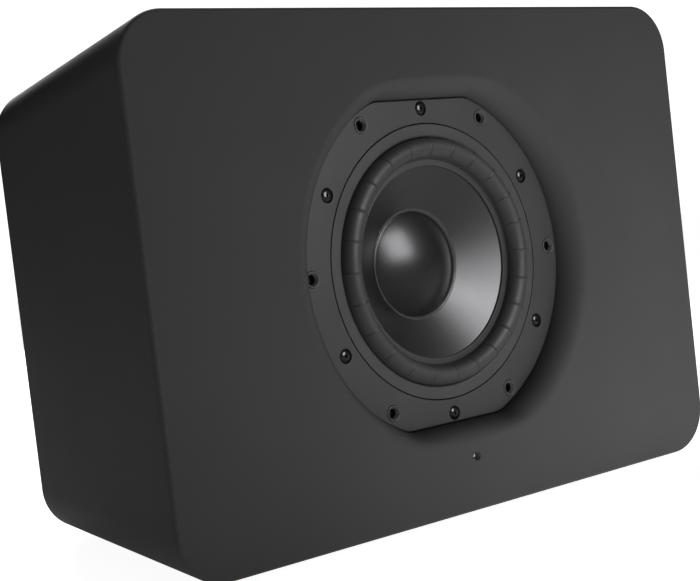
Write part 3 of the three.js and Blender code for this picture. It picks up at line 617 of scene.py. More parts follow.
# surround: half roll with short moulded ribs across its crest
RIBS = 24
RC, RA, RB, RD = 76.7, 7.1, 7.2, 2.0


def surround_angles():
    out = []
    for k in range(RIBS):
        c = 360.0 * k / RIBS
        for d in (-1.3, -0.95, -0.7, -0.5, -0.3, -0.15, 0.0, 0.15, 0.3, 0.5, 0.7, 0.95, 1.3):
            out.append(c + d)
        for d in (2.4, 3.8, 5.2, 6.6, 8.4, 9.8, 11.2, 12.6):
            out.append(c + d)
    return [math.radians(a) for a in sorted(out)]


def build_surround():
    outer, inner = [], []
    N = 30
    for i in range(N + 1):
        a = math.pi * i / N
        outer.append((RC + RA * math.cos(a), RD - RB * math.sin(a)))
    for i in range(15):
        a = math.pi - math.pi * i / 14
        inner.append((RC + (RA - 1.1) * math.cos(a), RD - (RB - 1.1) * math.sin(a)))
    head = rp([(93.2, 5.0), (83.85, 5.0, 0.5), (83.8, 2.4)], closed=False)
    lip = rp([(69.75, 1.4), (69.4, 2.05, 0.4), (65.35, 2.0, 0.4), (65.2, 3.0)], closed=False)
    prof = head + outer[1:-2] + lip + [(70.5, 3.0)] + inner + [(82.7, 6.0), (93.2, 6.0)]
    first = len(head)
    last = first + len(outer[1:-2])

    def move(k, r, h, a):
        if first <= k < last:
            t = (k - first) / (last - first - 1)
            span = min(1.0, max(0.0, (t - 0.10) / 0.12)) * min(1.0, max(0.0, (0.90 - t) / 0.12))
            d = (math.degrees(a) + 0.5 * 360 / RIBS) % (360 / RIBS) - 0.5 * 360 / RIBS
            w = math.exp(-(d / 0.42) ** 2) * span
            nx, nh = (r - RC) / RA, (h - RD) / RB
            ln = math.hypot(nx, nh) or 1.0
            return r + 0.55 * w * nx / ln, h + 0.55 * w * nh / ln
        return r, h

    ob = revolve("driver_surround", prof, M["rubber"], None, angles=surround_angles(), move=move, smooth=38)
    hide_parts("surround")
    radial_blend(ob)


def radial_blend(ob):
    """Bakes the object's transform into its mesh and reads its vertex positions; nothing is moved."""
    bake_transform(ob)
    co = np.zeros(len(ob.data.vertices) * 3)
    ob.data.vertices.foreach_get("co", co)
    co = co.reshape(-1, 3)


build_surround()

RIM, SLOPE = 3.0, 0.49
cd = lambda r: RIM + (65.2 - r) * SLOPE
prof = rp([(69.4, RIM, 0.2), (65.8, RIM, 0.3), (64.9, cd(64.6) + 0.05, 0.4), (26.2, cd(26.2), 0.4), (26.2, 23.9, 0.4), (64.2, 4.9, 1.5), (69.4, 4.2, 0.3)], step=10)
ob = revolve("driver_cone", prof, M["cone"], CONE, seg=256)
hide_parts("cone")

R, RISE = 36.5, 10.6
RS = (R * R + RISE * RISE) / (2 * RISE)
base = cd(R)
prof = [(R * i / 28, base - RISE + (RS - math.sqrt(RS * RS - (R * i / 28) ** 2))) for i in range(28)]
prof += rp([(R * 27.6 / 28, base - 0.22), (R + 0.15, base - 0.05, 0.4), (35.0, cd(35.0) + 0.0, 0.0)], closed=False)
prof += [(34.0 * i / 12, base - RISE + 1.1 + (RS - math.sqrt(RS * RS - (34.0 * i / 12) ** 2))) for i in range(12, -1, -1)]
ob = revolve("driver_dust_cap", prof, M["cap"], CONE, seg=192, closed=False)
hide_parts("dust_cap")

# glue bead where the cap meets the cone, slightly uneven
def bead_move(k, r, h, a):
    wob = 0.10 * math.sin(3 * a + 0.6) + 0.07 * math.sin(7 * a + 2.1) + 0.05 * math.sin(17 * a)
    return r + wob * (1 if r > 37.6 else 0.2), h


prof = []
for i in range(9):
    a = math.radians(180.0 * i / 8)
    cx_, cy_ = 37.7, cd(37.7)
    prof.append((cx_ - 1.15 * math.cos(a), cy_ + 1.15 * math.cos(a) * SLOPE * 1.0 - 0.62 * math.sin(a)))
bead = revolve("driver_cap_glue", prof + [(38.7, cd(38.7) + 0.25), (36.7, cd(36.7) + 0.25)], M["glue"], None, seg=192, move=bead_move)
dab = Shape()
rings = []
for i in range(7):
    a = math.radians(90.0 * i / 6)
    rr, hh = math.sin(a), math.cos(a)
    if i == 0:
        rings.append([len(dab.v)] * 24)
    px, pz = polar(39.9, 141)
    ring = []
    for k in range(1 if i == 0 else 24):
        t = 2 * math.pi * k / 24
        ux, uz = 1.5 * rr * math.cos(t), 0.85 * rr * math.sin(t)
        ca, sa = math.cos(math.radians(60)), math.sin(math.radians(60))
        x, z = px + ux * ca - uz * sa, pz + ux * sa + uz * ca
        ring.append((x, FY + cd(math.hypot(x, z - DRV_Z)) + 0.15 - 0.75 * hh, z))
    idx = dab.loop3(ring)
    if i:
        rings.append(idx)
dab.chain(rings)
dab.cap(rings[-1])
ob = join("driver_cap_glue", [bead, dab.make("glue_dab", M["glue"], None)])
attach(ob, CONE)

for nm, prof, mt, slot_, body, seg in (
    ("voice_coil_former", rp([(25.4, 18), (26.0, 18, 0.1), (26.0, 66.5, 0.1), (25.4, 66.5)]), "film", "former_film", CONE, 96),
    ("top_plate", rp([(28.5, 55, 0.3), (51, 55, 0.5), (52, 56, 0.5), (52, 62, 0.3), (28.5, 62, 0.3)]), "steel", "plated_steel", ROOT, 96),
    ("magnet", rp([(32, 62, 0.5), (56, 62, 0.6), (57, 63, 0.6), (57, 79, 0.6), (56, 80, 0.6), (32, 80, 0.5)]), "ferrite", "ferrite", ROOT, 96),
    ("yoke", rp([(6, 54, 0.4), (23.6, 54, 0.5), (24.4, 55, 0.5), (24.4, 80, 0.5), (53, 80, 0.5), (54, 81, 0.5), (54, 86, 0.6), (53, 87, 0.6), (8, 87, 0.6), (6, 85, 0.6)]), "steel", "plated_steel", ROOT, 96),
):
    ob = revolve("driver_" + nm, prof, M[mt], body, seg=seg)
    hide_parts(nm)

# winding: individual turns
prof = [(26.0, 50.6)]
for i in range(32):
    c = 50.75 + 0.5 * i
    for a in (-60, -20, 20, 60):
        prof.append((27.05 + 0.25 * math.cos(math.radians(a)), c + 0.25 * math.sin(math.radians(a))))
prof.append((26.0, 66.5))
ob = revolve("driver_voice_coil_winding", prof, M["copper"], CONE, seg=96, smooth=60)
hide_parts("voice_coil_winding")

# spider: corrugated cloth disc
up, dn = [], []
for i in range(61):
    r = 27.2 + (57.0 - 27.2) * i / 60
    h = 40.0 + 1.35 * math.sin((r - 27.2) / (57.0 - 27.2) * 2 * math.pi * 3.5) * min(1.0, (57.4 - r) / 3.0)
    up.append((r, h))
    dn.append((r, h + 0.8))
prof = [(26.0, 37.0), (26.8, 37.0), (26.9, 39.6)] + up[1:] + [(62.0, 40.0), (62.0, 41.0)] + dn[::-1][0:60] + [(26.0, 40.9)]
ob = revolve("driver_spider", prof, M["cloth"], None, seg=144)
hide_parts("spider")
radial_blend(ob)


def hex_screw(name, cx, cz, y0, s, r_head, h_top, h_rim, r_shank, length, material, body, phase):
    """Button-head screw with a hexagonal socket; s is the side the head faces."""
    sh = Shape()
    n = 48
    loops = []
    rs = r_head * 0.29
    for i in range(9):
        a = math.radians(90.0 * i / 8)
        r = rs + (r_head - rs) * math.sin(a)
        loops.append((r, h_rim + (h_top - h_rim) * math.cos(a)))
    loops += [(r_head, h_rim - 0.25), (r_head - 0.2, h_rim - 0.6), (r_shank, h_rim - 0.6), (r_shank, h_rim - length + 1.5), (r_shank * 0.35, h_rim - length)]
    ls = [sh.loop3([(cx + r * math.cos(2 * math.pi * k / n), y0 + s * h, cz + r * math.sin(2 * math.pi * k / n)) for k in range(n)]) for r, h in loops]
    sh.chain(ls)
    sh.cap(ls[-1])
    ring = sh.loop3([(cx + (rs - 0.12) * math.cos(2 * math.pi * k / n), y0 + s * (h_top - 0.12), cz + (rs - 0.12) * math.sin(2 * math.pi * k / n)) for k in range(n)])
    sh.bridge(ls[0], ring)
    hr = rs - 0.18

    def hexp(r, h):
        pts = []
        for k in range(n):
            a = 2 * math.pi * k / n
            m = (a - phase) % (math.pi / 3) - math.pi / 6
            rr = r * math.cos(math.pi / 6) / math.cos(m)
            pts.append((cx + rr * math.cos(a), y0 + s * h, cz + rr * math.sin(a)))
        return pts
    h1 = sh.loop3(hexp(hr, h_top - 0.14))
    h2 = sh.loop3(hexp(hr, h_top - 1.5))
    sh.bridge(ring, h1)
    sh.bridge(h1, h2)
    sh.cap(h2)
    return sh.make(name, material, body, smooth=30)


for i in range(6):
    x, z = polar(SCREW_R, 30 + 60 * i)
    ob = hex_screw(f"driver_screw_head_{i + 1}", x, z, FY, -1, 4.2, 0.45, -1.2, 2.0, 14.0, M["screw"], ROOT, 0.35 + 0.8 * i)
    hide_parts(f"driver_screw_{i + 1}")
    x, z = polar(SOCKET_R, 60 * i)
    prof = rp([(0, 5.8), (5.35, 5.8, 0.3), (5.35, -0.38, 0.5), (4.55, -0.38, 0.4), (3.2, 1.5, 0.8), (2.95, 4.4, 0.8), (0, 4.8)], closed=False, step=10)
    ob = revolve(f"grille_socket_cup_{i + 1}", prof, M["socket"], ROOT, seg=64, cx=x, cz=z, closed=False)
    # painted shade: the faces deep in each socket hole take the near-black material in place of the shade that falls
    # there
    ob.data.materials.append(M["bore"])
    for p in ob.data.polygons:
        c = p.center / MM
        if math.hypot(c.x - x, c.z - z) < 3.25 and c.y > FY + 1.3:
            p.material_index = 1
    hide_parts(f"grille_socket_{i + 1}")

# status light
prof = rp([(0, 1.75), (0.8, 1.85), (1.3, 2.3), (1.5, 3.1), (1.5, 28.0), (0, 28.0)], closed=False)
prof = [(1.5 * math.sin(math.radians(a)), 3.3 - 1.5 * math.cos(math.radians(a))) for a in range(0, 91, 10)] + [(1.5, 29.9), (0, 29.9)]
ob = revolve("status_light_lens", prof, M["lens"], ROOT, seg=48, cz=LED_Z, y0=Y_FRONT, closed=False)
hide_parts("led_lens")


# ------------------------------------------------------------- rear electronics
SCREWS_AMP = [(-90.5, -110.5), (90.5, -110.5), (-90.5, 110.5), (90.5, 110.5)]
KNOBS = [("level_knob", 48.0), ("crossover_knob", -48.0)]
RCAS = [("rca_left", 38.0, "white_ins"), ("rca_right", 62.0, "red_ins")]
ROCK = (-18.0, PANEL_OUT - 1.0, ROW_Z)


def plate_holes(name, outer_fn, hole_fns, y_out, y_in, s, material, body, e=0.4):
    """A plate with rounded visible edges. *_fn(grow) give outlines; s is the visible side."""
    sh = Shape()
    arcs = [(e * (1 - math.sin(math.radians(a))), e * (1 - math.cos(math.radians(a)))) for a in (0, 30, 60, 90)]
    out = [sh.loop(outer_fn(-g), y_out - s * d) for g, d in arcs] + [sh.loop(outer_fn(0), y_in)]
    sh.chain(out)
    f, b = [], []
    for fn in hole_fns:
        ls = [sh.loop(fn(g * 0.6), y_out - s * d * 0.6) for g, d in arcs] + [sh.loop(fn(0), y_in)]
        sh.chain(ls)
        f.append(ls[0])
        b.append(ls[-1])
    sh.cap(out[0], *f)
    sh.cap(out[-1], *b)
    return sh.make(name, material, body)


holes = [lambda g, x=x, z=z: circle(1.8 + g, 32, x, AMP_Z + z) for x, z in SCREWS_AMP]
holes += [lambda g, x=x: circle(3.5 + g, 40, x, CTRL_Z) for _, x in KNOBS]
holes += [lambda g, x=x: circle(4.3 + g, 40, x, ROW_Z) for _, x, _ in RCAS]
holes += [lambda g: circle(3.7 + g, 40, 0.0, AMP_Z + 46)]
holes += [lambda g: rrect(10.8 + 2 * g, 4.6 + 2 * g, 0.9 + g, 5, 0.0, CTRL_Z)]
holes += [lambda g: rrect(13.6 + 2 * g, 20.4 + 2 * g, 0.8 + g, 5, ROCK[0], ROW_Z)]
holes += [lambda g: rrect(30.0 + 2 * g, 23.4 + 2 * g, 1.0 + g, 5, -57.0, ROW_Z)]
ob = plate_holes("amplifier_plate", lambda g: rrect(AMP_W + 2 * g, AMP_H + 2 * g, 8.0 + g, 12, 0, AMP_Z), holes, PANEL_OUT, PANEL_Y, 1, M["panel"], ROOT)
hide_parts("amp_panel")

for i, (x, z) in enumerate(SCREWS_AMP):
    ob = hex_screw(f"plate_screw_{i + 1}", x, AMP_Z + z, PANEL_OUT, 1, 3.2, 1.8, 0.6, 1.5, 8.0, M["screw"], ROOT, 0.2 + 0.7 * i)
    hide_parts(f"panel_screw_{i + 1}")


def build_heatsink():
    fins, w, y0, y1, y2 = 15, 120.0, PANEL_OUT, PANEL_OUT + 1.6, PANEL_OUT + 9.0
    pitch = (w - 2.2) / (fins - 1)
    pts = [(-w / 2, y0), (w / 2, y0)]
    for i in range(fins - 1, -1, -1):
        x = -w / 2 + i * pitch
        if i < fins - 1:
            pts.append((x + 2.2, y1, 0.8))
        pts += [(x + 1.85, y2, 0.5), (x + 0.35, y2, 0.5)]
        if i > 0:
            pts.append((x, y1, 0.8))
    outline = rp(pts, closed=True, step=30)
    sh = Shape()
    ls = []
    for z, k in ((AMP_Z - 36, 0.25), (AMP_Z - 35.75, 0.0), (AMP_Z + 25.75, 0.0), (AMP_Z + 26, 0.25)):
        ls.append(sh.loop3([(x, max(y0, y - k) if y > y1 + 1 else y, z) for x, y in outline]))
    sh.chain(ls)
    sh.cap(ls[0], axes=(0, 1))
    sh.cap(ls[-1], axes=(0, 1))
    ob = sh.make("finned_heat_sink", M["fins"], ROOT, smooth=35)
    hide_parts("heat_sink")


build_heatsink()


def build_inlet():
    xc, z = -57.0, ROW_Z
    sh = Shape()
    rim = lambda g: rrect(36 + 2 * g, 28 + 2 * g, 2.5 + g, 8, xc, z)
    base_pts = [(-12.2, 8.2, 1.0), (-12.2, -3.2, 1.5), (-7.4, -8.2, 1.5), (7.4, -8.2, 1.5), (12.2, -3.2, 1.5), (12.2, 8.2, 1.0)]

    def cav(g):
        k = 1 + g / 10.0
        return [(xc + a * k, z + b * k) for a, b in rp(base_pts, closed=True, step=15)]
    arcs = [(0.8 * (1 - math.sin(math.radians(a))), 0.8 * (1 - math.cos(math.radians(a)))) for a in (0, 22, 45, 67, 90)]
    out = [sh.loop(rim(-g), PANEL_OUT + 3 - d) for g, d in arcs] + [sh.loop(rim(0), PANEL_OUT)]
    sh.chain(out)
    body = rrect(29.4, 22.8, 1.0, 8, xc, z)
    b0, b1 = sh.loop(body, PANEL_OUT), sh.loop(body, PANEL_OUT - 24)
    sh.cap(out[-1], b0)
    sh.bridge(b0, b1)
    sh.cap(b1)
    c = [sh.loop(cav(0.5 * g), PANEL_OUT + 3 - 0.5 * d) for g, d in arcs] + [sh.loop(cav(0), PANEL_OUT - 16)]
    sh.chain(c)
    sh.cap(out[0], c[0])
    sh.cap(c[-1])
    ob = sh.make("mains_inlet_body", M["plastic"], ROOT)
    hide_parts("mains_inlet")
    for i, (a, b) in enumerate(((-7.0, 2.5), (7.0, 2.5), (0.0, -2.5))):
        p = soft_box(f"mains_inlet_pin_{i + 1}", xc + a - 1, xc + a + 1, PANEL_OUT - 15.9, PANEL_OUT - 1, z + b - 2, z + b + 2, M["brass_pin"], ROOT, r=0.6)


build_inlet()


def build_rocker():
    x, y, z = ROCK
    sh = Shape()
    arcs = [(0.6 * (1 - math.sin(math.radians(a))), 0.6 * (1 - math.cos(math.radians(a)))) for a in (0, 30, 60, 90)]
    rim = lambda g: rrect(16.4 + 2 * g, 23.6 + 2 * g, 1.6 + g, 6, x, z)
    win = lambda g: rrect(11.6 + 2 * g, 18.6 + 2 * g, 0.5 + g, 6, x, z)
    out = [sh.loop(rim(-g), PANEL_OUT + 1.6 - d) for g, d in arcs] + [sh.loop(rim(0), PANEL_OUT)]
    sh.chain(out)
    tub = rrect(13.2, 20.0, 0.8, 6, x, z)
    t0, t1 = sh.loop(tub, PANEL_OUT), sh.loop(tub, y - 9)
    sh.cap(out[-1], t0)
    sh.bridge(t0, t1)
    sh.cap(t1)
    w = [sh.loop(win(0.5 * g), PANEL_OUT + 1.6 - 0.5 * d) for g, d in arcs] + [sh.loop(win(0), y - 7.6)]
    sh.chain(w)
    sh.cap(out[0], w[0])
    sh.cap(w[-1])
    ob = sh.make("power_switch_bezel", M["plastic"], ROOT)
    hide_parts("rocker_bezel")

    top = []
    for k in range(21):
        a = -8.0 + 16.0 * k / 20
        top.append((a, 2.75 + 1.6 * (abs(a) / 8.0) ** 2.0))
    prof = [(8.0, -0.4, 0.3), (8.0, 4.35, 0.5)] + [(a, b) for a, b in top[::-1][1:-1]] + [(-8.0, 4.35, 0.5), (-8.0, -0.4, 0.3), (0.0, -3.2, 0.5)]
    prof = rp(prof, closed=True, step=15)
    tilt = math.radians(-9)
    sh = Shape()
    ls = []
    for dx, k in ((-5.5, 0.965), (-5.2, 1.0), (5.2, 1.0), (5.5, 0.965)):
        pts = []
        for a, b in prof:
            a, b = a * k, b * (k if b > 1 else 1)
            yy = b * math.cos(tilt) - a * math.sin(tilt)
            zz = b * math.sin(tilt) + a * math.cos(tilt)
            pts.append((x + dx, y + yy, z + zz))
        ls.append(sh.loop3(pts))
    sh.chain(ls)
    sh.cap(ls[0], axes=(1, 2))
    sh.cap(ls[-1], axes=(1, 2))
    ob = sh.make("power_switch_rocker", M["gloss"], "rocker_body", smooth=35)
    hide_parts("power_rocker")

    # on and off marks on the rocker face
    def on_face(u, a):
        b = 2.75 + 1.6 * (abs(a) / 8.0) ** 2.0 + 0.03
        return (x + u, y + b * math.cos(tilt) - a * math.sin(tilt), z + b * math.sin(tilt) + a * math.cos(tilt))

    def strip(pts_in, pts_out):
        s2.f  # keeps the shape in scope
        top_i = s2.loop3([on_face(*p) for p in pts_in])
        top_o = s2.loop3([on_face(*p) for p in pts_out])
        lift = lambda p: (p[0], p[1] - 0.05, p[2])
        bot_i = s2.loop3([lift(on_face(*p)) for p in pts_in])
        bot_o = s2.loop3([lift(on_face(*p)) for p in pts_out])
        s2.chain([top_i, top_o, bot_o, bot_i, top_i])
    s2 = Shape()
    ring_i = [(1.15 * math.cos(2 * math.pi * k / 32), 4.6 + 1.15 * math.sin(2 * math.pi * k / 32)) for k in range(32)]
    ring_o = [(1.55 * math.cos(2 * math.pi * k / 32), 4.6 + 1.55 * math.sin(2 * math.pi * k / 32)) for k in range(32)]
    strip(ring_i, ring_o)
    bar = [(-0.2, -6.1), (0.2, -6.1), (0.2, -5.0), (0.2, -4.0), (0.2, -3.1), (-0.2, -3.1), (-0.2, -4.0), (-0.2, -5.0)]
    t = s2.loop3([on_face(*p) for p in bar])
    b = s2.loop3([(p[0], p[1] - 0.05, p[2]) for p in (on_face(*q) for q in bar)])
    s2.bridge(t, b)
    s2.cap(t)
    s2.cap(b)
    ob = s2.make("power_switch_marks", M["print"], "rocker_body")


build_rocker()


def build_knob(nm, x):
    seg = 240
    flutes = 24
    prof = rp([(0, 8.15), (7.2, 8.15, 1.0), (8.4, 8.6, 0.5), (9.6, 8.6, 1.0), (10.6, 7.4, 0.9), (10.95, 0.5, 0.4), (8.8, 0.5, 0.3), (8.6, 2.5, 0.5), (3.2, 2.5, 0.3), (3.2, -12.0, 0.3), (0, -12.0)], closed=False, step=15)

    def move(k, r, h, a):
        if r > 10.0 and h > 0.7:
            c = abs(math.cos(a * flutes / 2.0))
            return r - 0.40 * (1 - c) ** 1.2 * min(1.0, (8.2 - h) / 0.8 if h < 8.2 else 0.0), h
        return r, h

    ob = revolve(nm + "_cap", prof, M["knob"], nm + "_body", seg=seg, cx=x, cz=CTRL_Z, closed=False, move=move, y0=PANEL_OUT, s=1.0, smooth=40)
    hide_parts(nm)
    p = soft_box(nm + "_pointer", x - 0.45, x + 0.45, PANEL_OUT + 8.0, PANEL_OUT + 8.28, CTRL_Z + 2.6, CTRL_Z + 7.0, M["print"], nm + "_body", r=0.12, seg=2)


for nm, x in KNOBS:
    build_knob(nm, x)

# slide switch: a ribbed nub whose base reaches behind the slot
def build_slide():
    sh = Shape()
    prof = [(-4.2, PANEL_Y - 2.4), (0.2, PANEL_Y - 2.4)]
    top = PANEL_OUT + 3.4
    teeth = []
    for k in range(4):
        x0 = 0.2 - 0.25 - k * 1.05
        teeth += [(x0, top, 0.1), (x0 - 0.45, top, 0.1), (x0 - 0.55, top - 0.5, 0.1), (x0 - 0.95, top - 0.5, 0.1)]
    outline = rp(prof + [(0.2, top - 0.3, 0.1)] + teeth[:-2] + [(-4.2, top - 0.3, 0.1)], closed=True, step=45)
    ls = [sh.loop3([(a, b, z) for a, b in outline]) for z in (CTRL_Z - 1.9, CTRL_Z + 1.9)]
    sh.bridge(ls[0], ls[1])
    sh.cap(ls[0], axes=(0, 1))
    sh.cap(ls[1], axes=(0, 1))
    ob = sh.make("phase_switch_nub", M["plastic"], "phase_switch_body", smooth=30)
    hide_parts("phase_switch")


build_slide()

prof = rp([(0, -7.5 + 0), (3.4, -7.5, 0.3), (3.4, 2.5, 0.7), (2.2, 3.2, 0.8), (0, 2.75)], closed=False, step=12)
ob = revolve("pair_button_cap", prof, M["knob"], "pair_button_body", seg=64, cx=0.0, cz=AMP_Z + 46, closed=False, y0=PANEL_OUT, s=1.0)
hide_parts("pair_button")

for nm, x, ins in RCAS:
    prof = rp([(0, -10.5), (4.0, -10.5, 0.3), (4.0, 0.0), (6.2, 0.0, 0.2), (6.2, 1.6, 0.4), (4.15, 1.6, 0.3), (4.15, 9.0, 0.5), (3.35, 9.0, 0.3), (3.2, -1.0), (0, -1.0)], closed=False, step=15)
    ob = revolve(nm + "_shell", prof, M["gold"], ROOT, seg=72, cx=x, cz=ROW_Z, closed=False, y0=PANEL_OUT, s=1.0)
    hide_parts(nm)
    prof = rp([(1.65, -0.9), (3.15, -0.9), (3.15, 7.6, 0.3), (2.1, 7.6, 0.5), (1.65, 7.0)], closed=True, step=15)
    ob = revolve(nm + "_insulator", prof, M[ins], ROOT, seg=48, cx=x, cz=ROW_Z, y0=PANEL_OUT, s=1.0)
    prof = rp([(0, -0.9), (1.6, -0.9), (1.6, 6.4, 0.3), (1.1, 6.4, 0.2), (0.9, 2.0), (0, 2.0)], closed=False, step=20)
    ob = revolve(nm + "_contact", prof, M["gold"], ROOT, seg=32, cx=x, cz=ROW_Z, closed=False, y0=PANEL_OUT, s=1.0)

# printed marks: dial ticks, numbers and frames
def build_marks():
    sh = Shape()
    y0, y1 = PANEL_OUT, PANEL_OUT + 0.06

    def poly(pts):
        a, b = sh.loop(pts, y1), sh.loop(pts, y0 - 0.04)
        sh.bridge(a, b)
        sh.cap(a)
        sh.cap(b)

    def bar(cx, cz, ang, r0, r1, w):
        ca, sa = math.cos(ang), math.sin(ang)
        poly([(cx + r * ca - t * sa, cz + r * sa + t * ca) for r, t in ((r0, -w), (r1, -w), (r1, w), (r0, w))])

    for _, x in KNOBS:
        for k in range(11):
            a = math.radians(90 - 150 + 30 * k)
            bar(x, CTRL_Z, a, 12.6, 15.2 if k % 5 == 0 else 14.2, 0.22)
    # thin frames round the control and socket groups
    def frame_line(w, h, r, cx, cz, t=0.22):
        a = [sh.loop(rrect(w, h, r, 8, cx, cz), y) for y in (y0 - 0.04, y1)]
        b = [sh.loop(rrect(w - 2 * t, h - 2 * t, r - t, 8, cx, cz), y) for y in (y1, y0 - 0.04)]
        sh.chain([a[0], a[1], b[0], b[1], a[0]])
    frame_line(168, 78, 5, 0, AMP_Z + 66)
    frame_line(64, 40, 4, 50, ROW_Z)
    frame_line(72, 40, 4, -44, ROW_Z)
    ob = sh.make("panel_print_lines", M["print"], ROOT, smooth=0, weighted=False)
    texts = []
    for _, x in KNOBS:
        for k, t in ((0, "0"), (5, "5"), (10, "10")):
            a = math.radians(90 - 150 + 30 * k)
            texts.append((t, x + 18.2 * math.cos(a), CTRL_Z + 18.2 * math.sin(a)))
    texts += [("0", -7.5, CTRL_Z + 6.4), ("180", 6.5, CTRL_Z + 6.4)]
    obs = []
    for i, (t, x, z) in enumerate(texts):
        c = bpy.data.curves.new(f"t{i}", "FONT")
        c.body, c.size, c.extrude = t, 4.2 * MM, 0.05 * MM
        c.align_x, c.align_y = "CENTER", "CENTER"
        c.resolution_u = 3
        o = bpy.data.objects.new(f"t{i}", c)
        bpy.context.scene.collection.objects.link(o)
        o.matrix_world = Matrix.Translation(Vector((x * MM, (PANEL_OUT + 0.02) * MM, z * MM))) @ Matrix.Rotation(math.pi, 4, "Z") @ Matrix.Rotation(math.pi / 2, 4, "X")
        bpy.context.view_layer.update()
        me = bpy.data.meshes.new_from_object(o.evaluated_get(bpy.context.evaluated_depsgraph_get()))
        me.transform(o.matrix_world)
        bpy.data.objects.remove(o, do_unlink=True)
        q = bpy.data.objects.new(f"m{i}", me)
        bpy.context.scene.collection.objects.link(q)
        q.data.materials.clear()
        q.data.materials.append(M["print"])
        obs.append(q)
    ob = join("panel_print_numbers", obs)
    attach(ob, ROOT)


build_marks()

# ------------------------------------------------------- inside, kept CAD nodes
KEEP = {
    "brace_left": "board", "brace_right": "board", "damping_left": "felt", "damping_right": "felt",
    "terminal_block": "plastic", "speaker_cable": "cable", "control_board": "pcb", "amp_board": "pcb",
    "transformer": "copper", "led_board": "pcb",
}
for nm, mt in KEEP.items():
    o = NODES[nm]
    o.data.materials.clear()
    o.data.materials.append(M[mt])
    if nm not in ("speaker_cable", "transformer"):
        b = o.modifiers.new("edge", "BEVEL")
        b.width, b.segments, b.limit_method, b.angle_limit = 0.4 * MM, 2, "ANGLE", math.radians(40)

# ----------------------------------------------------------------------- stage
# strengths of the soft room light (lobes of the surroundings) and of the two softboxes
AMB, ZEN, RIGHT, FRONT, FLOOR, POOL, SHINE, KEY = 0.0, 0.03, 0.09, 0.28, 0.48, 3.2, 0.12, 11.0
TOP, BACK, SIDE, KEY_CONE, KEY_CAP = 10.0, 26.0, 0.5, 14.5, 13.3
FLOOR_SEEN, FLOOR_ALBEDO = 0.93, 0.45


def backdrop():
    m, nt, bs = new_mat("pale_floor")
    tc = nt.nodes.new("ShaderNodeTexCoord")
    n = noise(nt, tc.outputs["Object"], 3.0, 3.0)
    nt.links.new(mixc(nt, rng(nt, n, 0.0, 1.0), (0.88, 0.88, 0.88), (0.90, 0.90, 0.90)), bs.inputs["Base Color"])
    bs.inputs["Roughness"].default_value = 0.9
    bs.inputs["Specular IOR Level"].default_value = 0.1
    em = nt.nodes.new("ShaderNodeEmission")
    em.inputs["Color"].default_value = (1, 1, 1, 1)
    em.inputs["Strength"].default_value = FLOOR_SEEN
    add = nt.nodes.new("ShaderNodeAddShader")
    nt.links.new(bs.outputs["BSDF"], add.inputs[0])
    nt.links.new(em.outputs["Emission"], add.inputs[1])
    dim = nt.nodes.new("ShaderNodeBsdfDiffuse")
    dim.inputs["Color"].default_value = (FLOOR_ALBEDO, FLOOR_ALBEDO, FLOOR_ALBEDO, 1)
    lp = nt.nodes.new("ShaderNodeLightPath")
    mix = nt.nodes.new("ShaderNodeMixShader")
    nt.links.new(lp.outputs["Is Camera Ray"], mix.inputs["Fac"])
    # light bounced by the lit studio floor: an even part and a brighter pool in front on the right
    glow = nt.nodes.new("ShaderNodeEmission")
    glow.inputs["Color"].default_value = (1, 1, 1, 1)
    sub = nt.nodes.new("ShaderNodeVectorMath")
    sub.operation = "SUBTRACT"
    sub.inputs[1].default_value = (0.23, -0.32, 0.0)
    nt.links.new(tc.outputs["Object"], sub.inputs[0])
    ln = nt.nodes.new("ShaderNodeVectorMath")
    ln.operation = "LENGTH"
    nt.links.new(sub.outputs[0], ln.inputs[0])
    fall = nt.nodes.new("ShaderNodeMapRange")
    fall.interpolation_type = "SMOOTHSTEP"
    for k, v in (("From Min", 0.0), ("From Max", 0.60), ("To Min", POOL + FLOOR), ("To Max", FLOOR)):
        fall.inputs[k].default_value = v
    nt.links.new(ln.outputs["Value"], fall.inputs["Value"])
    nt.links.new(fall.outputs["Result"], glow.inputs["Strength"])
    shine = nt.nodes.new("ShaderNodeEmission")
    shine.inputs["Color"].default_value = (1, 1, 1, 1)
    shine.inputs["Strength"].default_value = SHINE
    kind = nt.nodes.new("ShaderNodeMixShader")
    nt.links.new(lp.outputs["Is Diffuse Ray"], kind.inputs["Fac"])
    nt.links.new(shine.outputs["Emission"], kind.inputs[1])
    nt.links.new(glow.outputs["Emission"], kind.inputs[2])
    m.cycles.emission_sampling = "NONE"
    bounce = nt.nodes.new("ShaderNodeAddShader")
    nt.links.new(dim.outputs["BSDF"], bounce.inputs[0])
    nt.links.new(kind.outputs["Shader"], bounce.inputs[1])
    nt.links.new(bounce.outputs["Shader"], mix.inputs[1])
    nt.links.new(add.outputs["Shader"], mix.inputs[2])
    out = [q for q in nt.nodes if q.type == "OUTPUT_MATERIAL"][0]
    nt.links.new(mix.outputs["Shader"], out.inputs["Surface"])
    me = bpy.data.meshes.new("floor")
    s = 30.0
    me.from_pydata([(-s, -s, 0), (s, -s, 0), (s, s, 0), (-s, s, 0)], [], [(0, 1, 2, 3)])
    me.materials.append(m)
    ob = bpy.data.objects.new("floor", me)
    bpy.context.scene.collection.objects.link(ob)


def area(name, loc, target, size, power, size_y=None):
    li = bpy.data.lights.new(name, "AREA")
    li.shape, li.size, li.size_y = "RECTANGLE", size, size_y or size
    li.energy = power
    ob = bpy.data.objects.new(name, li)
    bpy.context.scene.collection.objects.link(ob)
    ob.location = loc
    ob.rotation_euler = (Vector(target) - Vector(loc)).to_track_quat("-Z", "Y").to_euler()
    ob.visible_camera = False
    return ob


